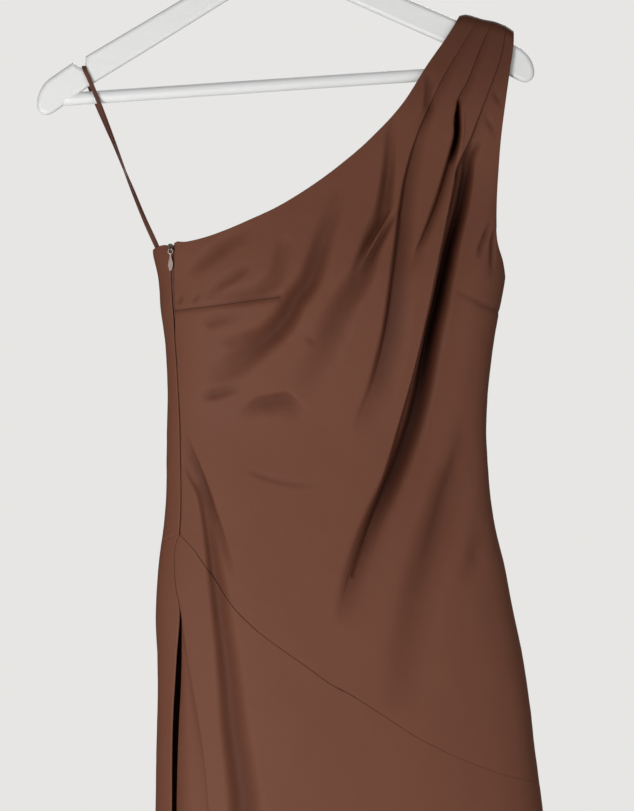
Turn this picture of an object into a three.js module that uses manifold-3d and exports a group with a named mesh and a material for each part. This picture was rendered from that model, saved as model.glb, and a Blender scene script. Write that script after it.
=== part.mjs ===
import * as THREE from 'three';
import { mergeVertices } from 'three/addons/utils/BufferGeometryUtils.js';
import Module from 'manifold-3d';

// One-shoulder satin dress with a slanting hip seam and a slit, hung on a wooden hanger.
// Sizes are in millimetres. The front faces -Y, +X is to the right as seen from the front, Z is up.
// The origin is where the inside of the hanger's hook rests on its rail.

const wasm = await Module();
wasm.setup();

// Cloth and seam sizes
const CLOTH_WALL = 1.5;
const SEAM_HALF_GAP = 0.2;
const HIP_SEAM_GAP = 0.5;
const UNDERLAP_SETBACK = 2.1;
const SECTION_POWER = 2.3;
const STRAP_ROUNDING = 8.5;
const STRAP_FLAT_DROP = 20;
const BODY_ROUND_DROP = 160;
const PLEAT_STACK = 1.6;
const PLEAT_STACK_REACH = 60;
const GIRTH_STEP = 0.004;
const HEIGHT_STEP = 0.5;

// Level sections of the hung dress: height, left and right outline, depth to the front and back
const SECTIONS = [
  [-128.7, -106.7, 227.7, 8.7, 8.7],
  [-168.3, -106.7, 223.2, 10, 10],
  [-204.3, -106.7, 218.7, 15, 14],
  [-249.3, -106.7, 214.2, 24, 21],
  [-294.3, -106.7, 211.5, 33, 28],
  [-341.1, -106.7, 211.1, 42, 34],
  [-363.6, -102.1, 211.5, 45.5, 36],
  [-394.2, -99.5, 205.7, 46.5, 36],
  [-423, -95.8, 201, 44.5, 34],
  [-463.5, -93.5, 196.1, 40.5, 31],
  [-503.1, -94, 194.2, 37, 29],
  [-551.7, -94.8, 197.1, 38.5, 34],
  [-587.7, -97.1, 202.3, 40.5, 38],
  [-621.9, -101.7, 210.2, 43, 42],
  [-669.6, -104.6, 219.7, 46, 46],
  [-707.4, -102.8, 227.3, 48, 48],
  [-746.1, -102.5, 233, 50, 50],
  [-792.9, -103.9, 238.7, 52, 51],
  [-844.2, -104.7, 245.3, 54, 52],
  [-1014.3, -107.1, 260.1, 58, 56],
  [-1378, -112.5, 285.3, 64, 62],
];
const LEFT = 1;
const RIGHT = 2;
const FRONT_DEPTH = 3;
const BACK_DEPTH = 4;
const HEM_HEIGHT = -1378;

// Edges as x and z: each runs down from the shoulder or from the seam above it
const NECKLINE = [
  [170.1, -128.7], [157.5, -148.6], [141.7, -171.1], [117.9, -208.1], [89.3, -239.3], [64, -261.4],
  [38.7, -280.4], [6.9, -300.2], [-18.9, -312.3], [-39.9, -321.3], [-60.5, -328.4], [-86.9, -333.2],
];
const ARMHOLE = [
  [218.9, -142.7], [218.3, -154.8], [215.6, -173.7], [211, -206.7], [207, -239.8], [205, -266.1],
  [203.7, -292.5], [203.4, -326.4], [205, -336.1], [209, -348.9], [211.5, -363.4],
];
const ZIP_LINE = [
  [-88.6, -333.2], [-89, -359.1], [-88.6, -376.2], [-87.3, -401.4], [-86.8, -418.5], [-85.1, -441.9],
  [-83.4, -470.7], [-82.1, -501.3], [-81.3, -545.4], [-81.3, -573.3], [-82.3, -594.9],
];
const SIDE_SEAM_ENDS = [-363.4, -820.8];
const FRONT_HIP_SEAM = [
  [-82.3, -594.9], [-70, -608.4], [-56.7, -627.3], [-39.6, -653.4], [-14.5, -679.5], [9, -697.2],
  [32.7, -713.7], [56.2, -730.3], [98.1, -755.1], [135.9, -779], [174.1, -797.1], [212.1, -811.4],
  [242, -820.8],
];
const BACK_NECKLINE = [
  [170.1, -128.7], [158.5, -150.6], [142.7, -174.6], [118.9, -213.6], [90.3, -246.3], [64, -268.4],
  [38.7, -287.4], [6.9, -307.2], [-18.9, -319.3], [-47, -330], [-80, -337.5], [-106.7, -340.7],
];
// Top of the back's strip: share of the way from the left outline to the zip, and height
const STRIP_TOP = [[0, -340.7], [0.3, -338.2], [0.6, -336.4], [0.85, -336.2], [1, -337]];
// Hip seam of the back: share of the way from the zip round to the side seam, and height
const BACK_HIP_SEAM = [[0, -594.9], [0.125, -607.5], [0.3, -655], [0.5, -712], [0.75, -780], [1, -820.8]];
const SLIT_FRONT_EDGE = [
  [-82.1, -594.9], [-81.4, -663.3], [-75.6, -703.8], [-67.5, -748.8], [-61.3, -787.5],
  [-55.8, -844.2], [-40.5, -1014.3], [-14.4, -1378],
];
const SLIT_BACK_EDGE = [
  [-82.8, -594.9], [-82.1, -663.3], [-85.5, -708.3], [-89.1, -775.8], [-89.8, -844.2],
  [-92.7, -1014.3], [-97.2, -1378],
];
// Left edge of the under-layer that shows in the slit
const UNDERLAP_EDGE = [
  [-81.8, -640], [-81.9, -694.8], [-83.7, -735.3], [-85.5, -775.8], [-86, -844.2],
  [-80, -1014.3], [-52, -1378],
];
const ZIP_HALF_GAPS = [[-600, 0.9], [-420, 0.9], [-390, 1.2], [-350, 1.7], [-330, 1.7]];

// Pleat and valley lines of the front as x and z, from the shoulder seam to the hip seam
const PLEAT_1 = [
  [187.2, -130.5], [183.2, -137.4], [166.8, -163.2], [153.5, -185.6], [137.7, -218.6],
  [129.8, -238.4], [123.2, -259.6], [117.6, -285.3], [112.5, -326.7], [106.7, -377.1],
  [102.1, -410.4], [96, -439.2], [89.1, -464.9], [75.6, -501.3], [57.6, -555.3], [39.6, -618.3],
  [23.4, -709.2],
];
const PLEAT_2 = [
  [200.7, -132.3], [197.8, -138.1], [190.5, -152.6], [176.9, -186.3], [168.4, -201.8],
  [164.3, -220.5], [164, -235.8], [159.2, -255.2], [152.8, -276.3], [142.9, -301.5],
  [131, -335.7], [123.3, -366.3], [117.9, -402.3], [110.7, -447.3], [98.1, -501.3],
  [80.1, -564.3], [60.3, -627.3], [37.8, -717.3],
];
const PLEAT_3 = [
  [212.2, -136.4], [211.2, -143.4], [206.4, -167.1], [193.6, -201.2], [185.6, -221.8],
  [177.6, -242.6], [167.8, -263.7], [163.8, -285.3], [154.8, -331.2], [147.3, -369.9],
  [139.9, -402.3], [126, -447.3], [112.9, -493.2], [101.1, -545.4], [86.9, -587.7],
  [75.2, -620.6], [63.4, -658.4], [56.2, -690.3], [50.2, -727.2],
];
const VALLEY = [
  [216, -138], [213.3, -168.3], [199.8, -213.3], [188.1, -238.5], [179.1, -254.7],
  [177.3, -272.7], [172.7, -300.6], [164.5, -333], [158.6, -360], [153.4, -386.1],
  [148.1, -406.8], [141.5, -439.2], [135, -470.7], [125.1, -503.1], [108, -545.4],
  [94, -573.3], [79.8, -606.6], [68, -644.4], [62.1, -676.8], [57.7, -729.9],
];

// Folds: depth inwards, width to the left and right of the line, and the line itself.
// Depths and widths are spread evenly along the line. A minus depth stands out as a ridge.
const FRONT_FOLDS = [
  { name: 'first pleat', depth: [1.3, 3, 5, 6, 6, 4.5, 0], left: [1.5, 2, 4, 8],
    right: [12, 24, 30, 30, 30], line: PLEAT_1.slice(0, 14) },
  { name: 'second pleat', depth: [1.3, 2.5, 7, 6, 3, 0], left: [1.5, 2, 3, 5],
    right: [10, 18, 18, 14], line: PLEAT_2.slice(0, 12) },
  { name: 'third pleat', depth: [1.3, 2, 4.5, 7, 7.5, 7, 6, 4, 0], left: [1.5, 2, 3, 5, 8],
    right: [8, 18, 24, 30, 34, 34], line: PLEAT_3.slice(0, 17) },
  { name: 'valley', depth: [0, 3, 6, 7, 6.5, 6, 5, 3, 0], left: [10, 14, 16],
    right: [12, 26, 36, 42, 42], line: VALLEY.slice(3, 19) },
  { name: 'neck trough', depth: [0, 2.5, 4, 4.5, 3.5, 0], left: [10, 14, 20], right: [10, 14, 20],
    line: [[112, -216.6], [106.9, -257.4], [102.5, -297.4], [85.5, -344.7], [60.3, -384.3], [34, -459]] },
  { name: 'bust trough', depth: [0, 2.5, 4, 4, 3, 0], left: [14, 18, 22], right: [14, 18, 22],
    line: [[63.9, -274.5], [48.6, -324.9], [34.7, -367.2], [3.6, -412.2], [-46.8, -450]] },
  { name: 'zip side fold', depth: [0, 2.5, 3, 2, 0], left: [8, 10], right: [12, 14],
    line: [[-78.3, -504.9], [-59.4, -549.9], [-40.5, -606.6]] },
  { name: 'long fold', depth: [0, 3.5, 4.5, 5.5, 7, 9], left: [8, 12, 16, 24],
    right: [18, 26, 34, 46],
    line: [[-73.8, -540], [-58.5, -585], [-51.3, -644.4], [-38.2, -769.5], [-17.1, -1014.3],
      [8.1, -1378]] },
  { name: 'side trough', depth: [0, 2.5, 3.5, 3.5, 2, 0], left: [34, 34], right: [34, 34],
    line: [[179.1, -474.3], [153, -575.1], [124.7, -688.5], [118.8, -758.7]] },
  { name: 'skirt fold', depth: [0, 3, 6, 9], left: [40, 50], right: [40, 50],
    line: [[84, -860], [92, -1100], [104, -1378]] },
  { name: 'outer skirt fold', depth: [0, 3, 6, 8], left: [34, 44], right: [30, 36],
    line: [[176, -900], [188, -1120], [204, -1378]] },
  { name: 'bust dart', depth: [1.6, 1.6, 1.2], left: [9], right: [9],
    line: [[-86.9, -394.2], [-49.5, -389.7], [10.8, -381.2]] },
];
const BACK_FOLDS = [
  { name: 'back strap fold', depth: [1.3, 3, 4, 4, 2, 0], left: [2, 6, 14, 20], right: [12, 24, 30],
    line: [[190, -131], [166, -178], [141, -236], [118, -318], [104, -420], [84, -505]] },
  { name: 'outer back strap fold', depth: [1.3, 3, 5, 5, 3, 0], left: [2, 8, 18, 24],
    right: [8, 22, 34, 38],
    line: [[206, -136], [187, -206], [166, -286], [144, -390], [112, -505], [80, -620]] },
  { name: 'back waist trough', depth: [0, 3, 4, 3, 0], left: [26, 32], right: [26, 32],
    line: [[20, -345], [34, -440], [26, -540], [18, -640]] },
  { name: 'back side fold', depth: [0, 3, 4, 5, 7], left: [24, 34, 44], right: [24, 34, 44],
    line: [[-46, -560], [-38, -760], [-24, -1050], [-6, -1378]] },
  { name: 'back skirt fold', depth: [0, 3, 6, 9], left: [36, 46], right: [36, 46],
    line: [[98, -780], [104, -1060], [118, -1378]] },
  { name: 'outer back skirt fold', depth: [0, 3, 6], left: [30, 36], right: [30, 36],
    line: [[188, -860], [206, -1378]] },
];

// Rows and columns of each panel
const UPPER_ROWS = 16;
const LOWER_ROWS = 19;
const BACK_UPPER_ROWS = 15;
const BACK_LOWER_ROWS = 13;
const SKIRT_ROWS = 12;
const BACK_COLUMNS = 24;
const FRONT_SKIRT_COLUMNS = 26;
const UNDERLAP_COLUMNS = 5;
const KNIFE_HALF_WIDTH = 1.1;
const KNIFE_SHARE = 0.3;
const CROSSING_PASSES = 12;
// Columns of the front: from the left edge to the pleats, between them, and on to the right edge
const COLUMN_RUNS = [11, 1, 4, 1, 4, 1, 3, 11];
// Share of the rows above the underarm, and share of the edge that they have covered
const ROW_PACE = [[0, 0], [0.0625, 0.004], [0.125, 0.013], [0.1875, 0.028], [0.25, 0.06], [1, 1]];
// Rows of the back that end at the strip's top, between the left outline and the zip
const STRIP_TOP_ROWS = 3;

// Hanger sizes, in the hanger's own upright frame
const HANGER_TILT = -3.9;
const ARM_THICKNESS = 12;
const ARM_BEVEL = 1.6;
const APEX_HEIGHT = -62.5;
const ARM_SLOPE = 0.504;
const BAR_RADIUS = 6;
const BAR_HEIGHT = -189.6;
const BAR_HALF_LENGTH = 203;
const BAR_SIDES = 16;
const HOOK_WIRE_RADIUS = 1.9;
const HOOK_INNER_RADIUS = 21;
// The hook's round stretch in degrees, in even steps, and the shank below it as x and z
const HOOK_START = 200;
const HOOK_END = -35;
const HOOK_STEPS = 10;
const HOOK_SHANK = [[8, -44], [1.4, -51], [0, -58], [0, -66.8]];
const TOUCH_GAP = 0.3;

// Zip sizes
const CHAIN_THICKNESS = 1.6;
const CHAIN_SIDE_GAP = 0.45;
const CHAIN_SETBACK = 0.5;
const CHAIN_TOP = -337;
const CHAIN_BOTTOM = -593;
const CHAIN_STEPS = 18;
const SLIDER_WIDTH = 4.6;
const SLIDER_LENGTH = 7.4;
const SLIDER_DEPTH = 2.6;
const SLIDER_SHOULDER_HEIGHT = 1.6;
const SLIDER_SHOULDER_INSET = 0.6;
const BRIDGE_WIDTH = 1.2;
const BRIDGE_LEG = 0.8;
const BRIDGE_ROOT = 0.4;
const TUNNEL_HALF_LENGTH = 1.1;
const TUNNEL_HALF_DEPTH = 1;
const PULL_THICKNESS = 1;
const PULL_RING_RADIUS = 2.6;
const PULL_LENGTH = 20;
const PULL_WIDTH = 4.6;
const PULL_NECK_HALF_WIDTH = 0.7;
const PULL_EASE = 0.5;
const SLIDER_X = -90.4;
const SLIDER_Z = -338.2;
const PIVOT_RISE = -0.4;
const SLIDER_SEAT_GAP = 0.1;

// Ribbon sizes
const RIBBON_WIDTH = 3.2;
const RIBBON_THICKNESS = 1;
const RIBBON_STEPS = 44;

const BROWN = 0x6b4536;
const dressCloth = new THREE.MeshStandardMaterial({ color: BROWN, roughness: 0.55, metalness: 0 });
const ribbonSatin = new THREE.MeshStandardMaterial({ color: 0x5a3426, roughness: 0.4, metalness: 0 });
const whitePaint = new THREE.MeshStandardMaterial({ color: 0xe6e7e5, roughness: 0.4, metalness: 0 });
const brightWire = new THREE.MeshStandardMaterial({ color: 0xc8c9cb, roughness: 0.2, metalness: 1 });
const zipNylon = new THREE.MeshStandardMaterial({ color: 0x4a2c21, roughness: 0.5, metalness: 0 });
const paleMetal = new THREE.MeshStandardMaterial({ color: 0xb9a096, roughness: 0.35, metalness: 0.8 });

const mix = (a, b, share) => a + (b - a) * share;
const clamp01 = (value) => Math.min(1, Math.max(0, value));
const signedPower = (value, power) => Math.sign(value) * Math.abs(value) ** power;

function easeBetween(low, high, value) {
  const share = clamp01((value - low) / (high - low));
  return share * share * (3 - 2 * share);
}

// Smooth value of one column of a table at a place in its key column, which rises
function lookUp(rows, at, column = 1, key = 0) {
  const last = rows.length - 1;
  if (at <= rows[0][key]) return rows[0][column];
  if (at >= rows[last][key]) return rows[last][column];
  let i = 0;
  while (rows[i + 1][key] < at) i += 1;
  const slope = (k) => {
    const before = rows[Math.max(0, k - 1)];
    const after = rows[Math.min(last, k + 1)];
    return (after[column] - before[column]) / (after[key] - before[key]);
  };
  const span = rows[i + 1][key] - rows[i][key];
  const t = (at - rows[i][key]) / span;
  const a = rows[i][column];
  const b = rows[i + 1][column];
  const bend = t * (1 - t);
  return mix(a, b, t * t * (3 - 2 * t)) + span * bend * ((1 - t) * slope(i) - t * slope(i + 1));
}

const rising = (rows) => [...rows].reverse();
const SECTIONS_UP = rising(SECTIONS);
const section = (z, column) => lookUp(SECTIONS_UP, z, column);

// The same line with the share of its length in front of each point
function measured(points) {
  let length = 0;
  const rows = points.map(([x, z], i) => {
    if (i > 0) length += Math.hypot(x - points[i - 1][0], z - points[i - 1][1]);
    return [length, x, z];
  });
  return rows.map(([at, x, z]) => [at / length, x, z]);
}
const pointAlong = (line, share) => [lookUp(line, share, 1), lookUp(line, share, 2)];

// A girth share g runs round the dress: 0 at the left outline, 1 at the right one by the back,
// and -1 at the right one by the front.
function girthAt(x, z, side) {
  const left = section(z, LEFT);
  const right = section(z, RIGHT);
  const across = ((left + right) / 2 - x) / ((right - left) / 2);
  const cosine = signedPower(Math.min(1, Math.max(-1, across)), SECTION_POWER / 2);
  return side * Math.acos(cosine) / Math.PI;
}

function skin(g, z, drop) {
  const left = section(z, LEFT);
  const right = section(z, RIGHT);
  const angle = Math.PI * Math.abs(g);
  const x = (left + right) / 2 - (right - left) / 2 * signedPower(Math.cos(angle), 2 / SECTION_POWER);
  const roundShare = Math.abs(Math.sin(angle)) ** (2 / SECTION_POWER);
  const share = 1 - (1 - roundShare) * easeBetween(STRAP_FLAT_DROP, BODY_ROUND_DROP, drop);
  const over = Math.sqrt(1 - (1 - clamp01(drop / STRAP_ROUNDING)) ** 2);
  const depth = g < 0 ? -section(z, FRONT_DEPTH) : section(z, BACK_DEPTH);
  return new THREE.Vector3(x, depth * share * over, z);
}

// Value spread evenly along a list
function spread(list, share) {
  const at = share * (list.length - 1);
  const i = Math.min(list.length - 1, Math.floor(at));
  return mix(list[i], list[Math.min(list.length - 1, i + 1)], at - i);
}

// How far one fold pushes the cloth in at x, z
function foldDepth(fold, x, z) {
  let nearest = { distance: Infinity };
  const line = fold.line;
  for (let i = 0; i < line.length - 1; i += 1) {
    const dx = line[i + 1][0] - line[i][0];
    const dz = line[i + 1][1] - line[i][1];
    const along = clamp01(((x - line[i][0]) * dx + (z - line[i][1]) * dz) / (dx * dx + dz * dz));
    const offX = x - line[i][0] - along * dx;
    const offZ = z - line[i][1] - along * dz;
    const distance = Math.hypot(offX, offZ);
    if (distance < nearest.distance) {
      nearest = { distance, share: (i + along) / (line.length - 1), toRight: dx * offZ - dz * offX >= 0 };
    }
  }
  const width = spread(nearest.toRight ? fold.right : fold.left, nearest.share);
  const reach = nearest.distance / width;
  if (reach >= 1) return 0;
  return spread(fold.depth, nearest.share) * (1 + Math.cos(Math.PI * reach)) / 2;
}

// How far the cloth stands out at x, z: the stacked pleats at the shoulder less the folds
function relief(folds, x, z, drop) {
  const stack = PLEAT_STACK * (1 - easeBetween(0, PLEAT_STACK_REACH, drop));
  return folds.reduce((height, fold) => height - foldDepth(fold, x, z), stack);
}

// A closed mesh from quads laid out in rows of points, outer skin first and then inner skin
function closedSheet(outer, inner) {
  const rows = outer.length;
  const columns = outer[0].length;
  const positions = [...outer.flat(), ...inner.flat()].flatMap((p) => [p.x, p.y, p.z]);
  const inside = rows * columns;
  const at = (i, j) => i * columns + j;
  const index = [];
  const quad = (a, b, c, d) => index.push(a, b, c, a, c, d);
  for (let i = 0; i < rows - 1; i += 1) {
    for (let j = 0; j < columns - 1; j += 1) {
      quad(at(i, j), at(i + 1, j), at(i + 1, j + 1), at(i, j + 1));
      quad(inside + at(i, j), inside + at(i, j + 1), inside + at(i + 1, j + 1), inside + at(i + 1, j));
    }
  }
  for (let j = 0; j < columns - 1; j += 1) {
    quad(at(0, j), at(0, j + 1), inside + at(0, j + 1), inside + at(0, j));
    quad(at(rows - 1, j + 1), at(rows - 1, j), inside + at(rows - 1, j), inside + at(rows - 1, j + 1));
  }
  for (let i = 0; i < rows - 1; i += 1) {
    quad(at(i + 1, 0), at(i, 0), inside + at(i, 0), inside + at(i + 1, 0));
    const [above, below] = [at(i, columns - 1), at(i + 1, columns - 1)];
    quad(above, below, inside + below, inside + above);
  }
  const geometry = new THREE.BufferGeometry();
  geometry.setAttribute('position', new THREE.Float32BufferAttribute(positions, 3));
  geometry.setIndex(signedVolume(positions, index) < 0 ? flipped(index) : index);
  return geometry;
}

function signedVolume(positions, index) {
  const corner = (k) => new THREE.Vector3(positions[3 * k], positions[3 * k + 1], positions[3 * k + 2]);
  let volume = 0;
  for (let i = 0; i < index.length; i += 3) {
    volume += corner(index[i]).dot(corner(index[i + 1]).cross(corner(index[i + 2])));
  }
  return volume;
}

function flipped(index) {
  const turned = [];
  for (let i = 0; i < index.length; i += 3) turned.push(index[i], index[i + 2], index[i + 1]);
  return turned;
}

// Direction into the dress, from the unfolded skin
function inwardAt(g, z, drop) {
  const low = Math.max(-1, g - GIRTH_STEP);
  const high = Math.min(1, g + GIRTH_STEP);
  const round = skin(high, z, drop).sub(skin(low, z, drop));
  const up = skin(g, z + HEIGHT_STEP, drop - HEIGHT_STEP).sub(skin(g, z - HEIGHT_STEP, drop + HEIGHT_STEP));
  return round.cross(up);
}

// A cloth wall on the skin: folds move its outer side along the inward direction, and its inner
// side lies one wall further in. squareUp(i, j, inward) sets the wall square to a seam, and
// setback is how far a layer lies inside the skin.
function clothWall({ rows, columns, place, folds, shift, squareUp, setback = 0 }) {
  const outer = [];
  const inner = [];
  for (let i = 0; i <= rows; i += 1) {
    outer.push([]);
    inner.push([]);
    for (let j = 0; j <= columns; j += 1) {
      const { g, z, drop } = place(i, j);
      const inward = inwardAt(g, z, drop);
      squareUp(i, j, inward);
      inward.normalize();
      const point = skin(g, z, drop);
      point.y += shift;
      point.addScaledVector(inward, setback - relief(folds, point.x, point.z, drop));
      outer[i].push(point);
      inner[i].push(point.clone().addScaledVector(inward, CLOTH_WALL));
    }
  }
  return closedSheet(outer, inner);
}

// Ends of the row at share t of the way down a bodice: girth and height at each end
function bodiceEnds(t, upperShare, side, rowPace, leftUpper) {
  if (t <= upperShare) {
    const pace = lookUp(rowPace, t / upperShare);
    const [rightX, rightZ] = pointAlong(ARMHOLE_LINE, pace);
    return { ...leftUpper(pace), gRight: girthAt(rightX, rightZ, side), zRight: rightZ };
  }
  const share = (t - upperShare) / (1 - upperShare);
  const [zipX, zipZ] = pointAlong(ZIP_MEASURED, share);
  const halfGap = lookUp(ZIP_HALF_GAPS, zipZ);
  const zRight = mix(SIDE_SEAM_ENDS[0], SIDE_SEAM_ENDS[1], share);
  return { gLeft: girthAt(zipX - side * halfGap, zipZ, -1), zLeft: zipZ, gRight: side, zRight };
}

const NECKLINE_MEASURED = measured(NECKLINE);
const ARMHOLE_LINE = measured(ARMHOLE);
const ZIP_MEASURED = measured(ZIP_LINE);
const BACK_NECKLINE_MEASURED = measured(BACK_NECKLINE);
const BACK_NECKLINE_SHARE = 0.86;

// How far the hip seam lies above the straight row between its ends, by share of the row
function hipSeamBow(seam) {
  const start = seam[0][1];
  const end = seam[seam.length - 1][1];
  return seam.map(([share, z]) => [share, z - mix(start, end, share)]);
}
const FRONT_SEAM_START = girthAt(FRONT_HIP_SEAM[0][0], FRONT_HIP_SEAM[0][1], -1);
const FRONT_SEAM_BOW = hipSeamBow(FRONT_HIP_SEAM.map(([x, z], i) => {
  const g = i === FRONT_HIP_SEAM.length - 1 ? -1 : girthAt(x, z, -1);
  return [(g - FRONT_SEAM_START) / (-1 - FRONT_SEAM_START), z];
}));
const BACK_SEAM_BOW = hipSeamBow(BACK_HIP_SEAM);

const FRONT_COLUMNS = COLUMN_RUNS.reduce((sum, run) => sum + run, 0);
const FRONT_ROWS = UPPER_ROWS + LOWER_ROWS;
const FRONT_UPPER_SHARE = UPPER_ROWS / FRONT_ROWS;

// Share of the row at which a pleat line crosses it
function crossing(line, ends, heightAt) {
  const lineUp = rising(line);
  let share = 0.5;
  for (let pass = 0; pass < CROSSING_PASSES; pass += 1) {
    const z = heightAt(share);
    const x = lookUp(lineUp, z, 0, 1);
    share = (girthAt(x, z, -1) - ends.gLeft) / (ends.gRight - ends.gLeft);
  }
  return share;
}

function frontBodicePoint(i, j) {
  const t = i / FRONT_ROWS;
  const leftUpper = (pace) => {
    const [x, z] = pointAlong(NECKLINE_MEASURED, pace);
    return { gLeft: girthAt(x, z, -1), zLeft: z };
  };
  const ends = bodiceEnds(t, FRONT_UPPER_SHARE, -1, ROW_PACE, leftUpper);
  const lower = clamp01((t - FRONT_UPPER_SHARE) / (1 - FRONT_UPPER_SHARE));
  const bow = lower ** 2;
  const heightAt = (share) => mix(ends.zLeft, ends.zRight, share) + bow * lookUp(FRONT_SEAM_BOW, share);
  const valley = crossing(VALLEY, ends, heightAt);
  const lines = [PLEAT_1, PLEAT_2, PLEAT_3].map((line) => crossing(line, ends, heightAt));
  const rowLength = section(ends.zLeft, RIGHT) - section(ends.zLeft, LEFT);
  const knots = [0];
  lines.forEach((line, k) => {
    const room = (k < 2 ? lines[k + 1] : valley) - line;
    const half = Math.min(KNIFE_HALF_WIDTH / rowLength, KNIFE_SHARE * room);
    knots.push(line - half, line + half);
  });
  knots.push(valley, 1);
  let run = 0;
  let left = j;
  while (run < COLUMN_RUNS.length - 1 && left > COLUMN_RUNS[run]) {
    left -= COLUMN_RUNS[run];
    run += 1;
  }
  const share = mix(knots[run], knots[run + 1], left / COLUMN_RUNS[run]);
  const z = heightAt(share);
  const strapTop = mix(NECKLINE[0][1], ARMHOLE[0][1], share);
  return { g: mix(ends.gLeft, ends.gRight, share), z, drop: strapTop - z };
}

const BACK_ROWS = BACK_UPPER_ROWS + BACK_LOWER_ROWS;
const ZIP_TOP_X = ZIP_LINE[0][0] - lookUp(ZIP_HALF_GAPS, ZIP_LINE[0][1]);
const ZIP_TOP_GIRTH = girthAt(ZIP_TOP_X, STRIP_TOP.at(-1)[1], -1);
const BACK_UPPER_SHARE = BACK_UPPER_ROWS / BACK_ROWS;
const STRIP_TOP_START = 1 - STRIP_TOP_ROWS / BACK_UPPER_ROWS;
const BACK_ROW_PACE = [...ROW_PACE.slice(0, -1), [STRIP_TOP_START, BACK_NECKLINE_SHARE], [1, 1]];

function backBodicePoint(i, j) {
  const t = i / BACK_ROWS;
  const leftUpper = (pace) => {
    if (pace < BACK_NECKLINE_SHARE) {
      const [x, z] = pointAlong(BACK_NECKLINE_MEASURED, pace / BACK_NECKLINE_SHARE);
      return { gLeft: girthAt(x, z, 1), zLeft: z };
    }
    const share = (pace - BACK_NECKLINE_SHARE) / (1 - BACK_NECKLINE_SHARE);
    return { gLeft: share * ZIP_TOP_GIRTH, zLeft: lookUp(STRIP_TOP, share) };
  };
  const ends = bodiceEnds(t, BACK_UPPER_SHARE, 1, BACK_ROW_PACE, leftUpper);
  const lower = clamp01((t - BACK_UPPER_SHARE) / (1 - BACK_UPPER_SHARE));
  const share = j / BACK_COLUMNS;
  const dip = lower > 0 ? 1 - easeBetween(0, 1, lower) : easeBetween(0, 1, t / BACK_UPPER_SHARE);
  const lead = mix(share, 1 - (1 - share) ** 3, dip);
  const z = mix(ends.zLeft, ends.zRight, lead) + lookUp(BACK_SEAM_BOW, share) * lower ** 2;
  const strapTop = mix(BACK_NECKLINE[0][1], ARMHOLE[0][1], share);
  return { g: mix(ends.gLeft, ends.gRight, share), z, drop: strapTop - z };
}

// Skirt panels hang from the hip seam to a level hem
function skirtPoint(t, share, side, slitEdge, bow) {
  const [slitX, slitZ] = pointAlong(slitEdge, t);
  const gLeft = girthAt(slitX, slitZ, -1);
  const zRight = mix(SIDE_SEAM_ENDS[1], HEM_HEIGHT, t);
  const z = mix(slitZ, zRight, share) + lookUp(bow, share) * (1 - t) ** 2 - HIP_SEAM_GAP * (1 - t);
  return { g: mix(gLeft, side, share), z, drop: BODY_ROUND_DROP };
}
const SLIT_FRONT_MEASURED = measured(SLIT_FRONT_EDGE);
const SLIT_BACK_MEASURED = measured(SLIT_BACK_EDGE);

// How the wall lies at each kind of seam
const squareTo = {
  shoulder: (inward) => inward.set(0, 0, -1),
  side: (inward) => inward.setY(0),
  hip: (inward) => inward.setZ(0),
};

function frontBodice() {
  return clothWall({
    rows: FRONT_ROWS, columns: FRONT_COLUMNS, place: frontBodicePoint, folds: FRONT_FOLDS,
    shift: -SEAM_HALF_GAP,
    squareUp: (i, j, inward) => {
      if (i === 0) squareTo.shoulder(inward);
      if (i === FRONT_ROWS) squareTo.hip(inward);
      if (j === FRONT_COLUMNS && i >= UPPER_ROWS) squareTo.side(inward);
    },
  });
}

function backBodice() {
  return clothWall({
    rows: BACK_ROWS, columns: BACK_COLUMNS, place: backBodicePoint, folds: BACK_FOLDS,
    shift: SEAM_HALF_GAP,
    squareUp: (i, j, inward) => {
      if (i === 0) squareTo.shoulder(inward);
      if (i === BACK_ROWS) squareTo.hip(inward);
      if (j === BACK_COLUMNS && i >= BACK_UPPER_ROWS) squareTo.side(inward);
    },
  });
}

function skirtPanel(columns, side, slitEdge, bow, folds) {
  return clothWall({
    rows: SKIRT_ROWS, columns, folds, shift: side * SEAM_HALF_GAP,
    place: (i, j) => skirtPoint(i / SKIRT_ROWS, j / columns, side, slitEdge, bow),
    squareUp: (i, j, inward) => {
      if (i === 0) squareTo.hip(inward);
      if (j === columns) squareTo.side(inward);
    },
  });
}

// The under-layer hangs behind the left edge of the front skirt, on the skirt's own rows and
// columns, and its first column stands out to the left in the slit.
function slitUnderlap() {
  return clothWall({
    rows: SKIRT_ROWS - 1, columns: UNDERLAP_COLUMNS, folds: FRONT_FOLDS, shift: -SEAM_HALF_GAP,
    setback: UNDERLAP_SETBACK,
    place: (i, j) => {
      const t = (i + 1) / SKIRT_ROWS;
      const share = Math.max(0, j - 1) / FRONT_SKIRT_COLUMNS;
      const point = skirtPoint(t, share, -1, SLIT_FRONT_MEASURED, FRONT_SEAM_BOW);
      if (j > 0) return point;
      return { ...point, g: girthAt(lookUp(rising(UNDERLAP_EDGE), point.z, 0, 1), point.z, -1) };
    },
    squareUp: () => {},
  });
}

// The closed zip fills the gap between the front and the back strip
function zipChain() {
  const outer = [];
  const inner = [];
  for (let i = 0; i <= CHAIN_STEPS; i += 1) {
    const z = mix(CHAIN_TOP, CHAIN_BOTTOM, i / CHAIN_STEPS);
    const x = lookUp(rising(ZIP_LINE), z, 0, 1);
    const half = lookUp(ZIP_HALF_GAPS, z) - CHAIN_SIDE_GAP;
    const ends = [x - half, x + half].map((edge) => skin(girthAt(edge, z, -1), z, BODY_ROUND_DROP));
    const across = ends[1].clone().sub(ends[0]);
    const inward = new THREE.Vector3(-across.y, across.x, 0).normalize();
    outer.push(ends.map((p) => p.clone().addScaledVector(inward, CHAIN_SETBACK)));
    inner.push(ends.map((p) => p.clone().addScaledVector(inward, CHAIN_SETBACK + CHAIN_THICKNESS)));
  }
  return closedSheet(outer, inner);
}

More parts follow.
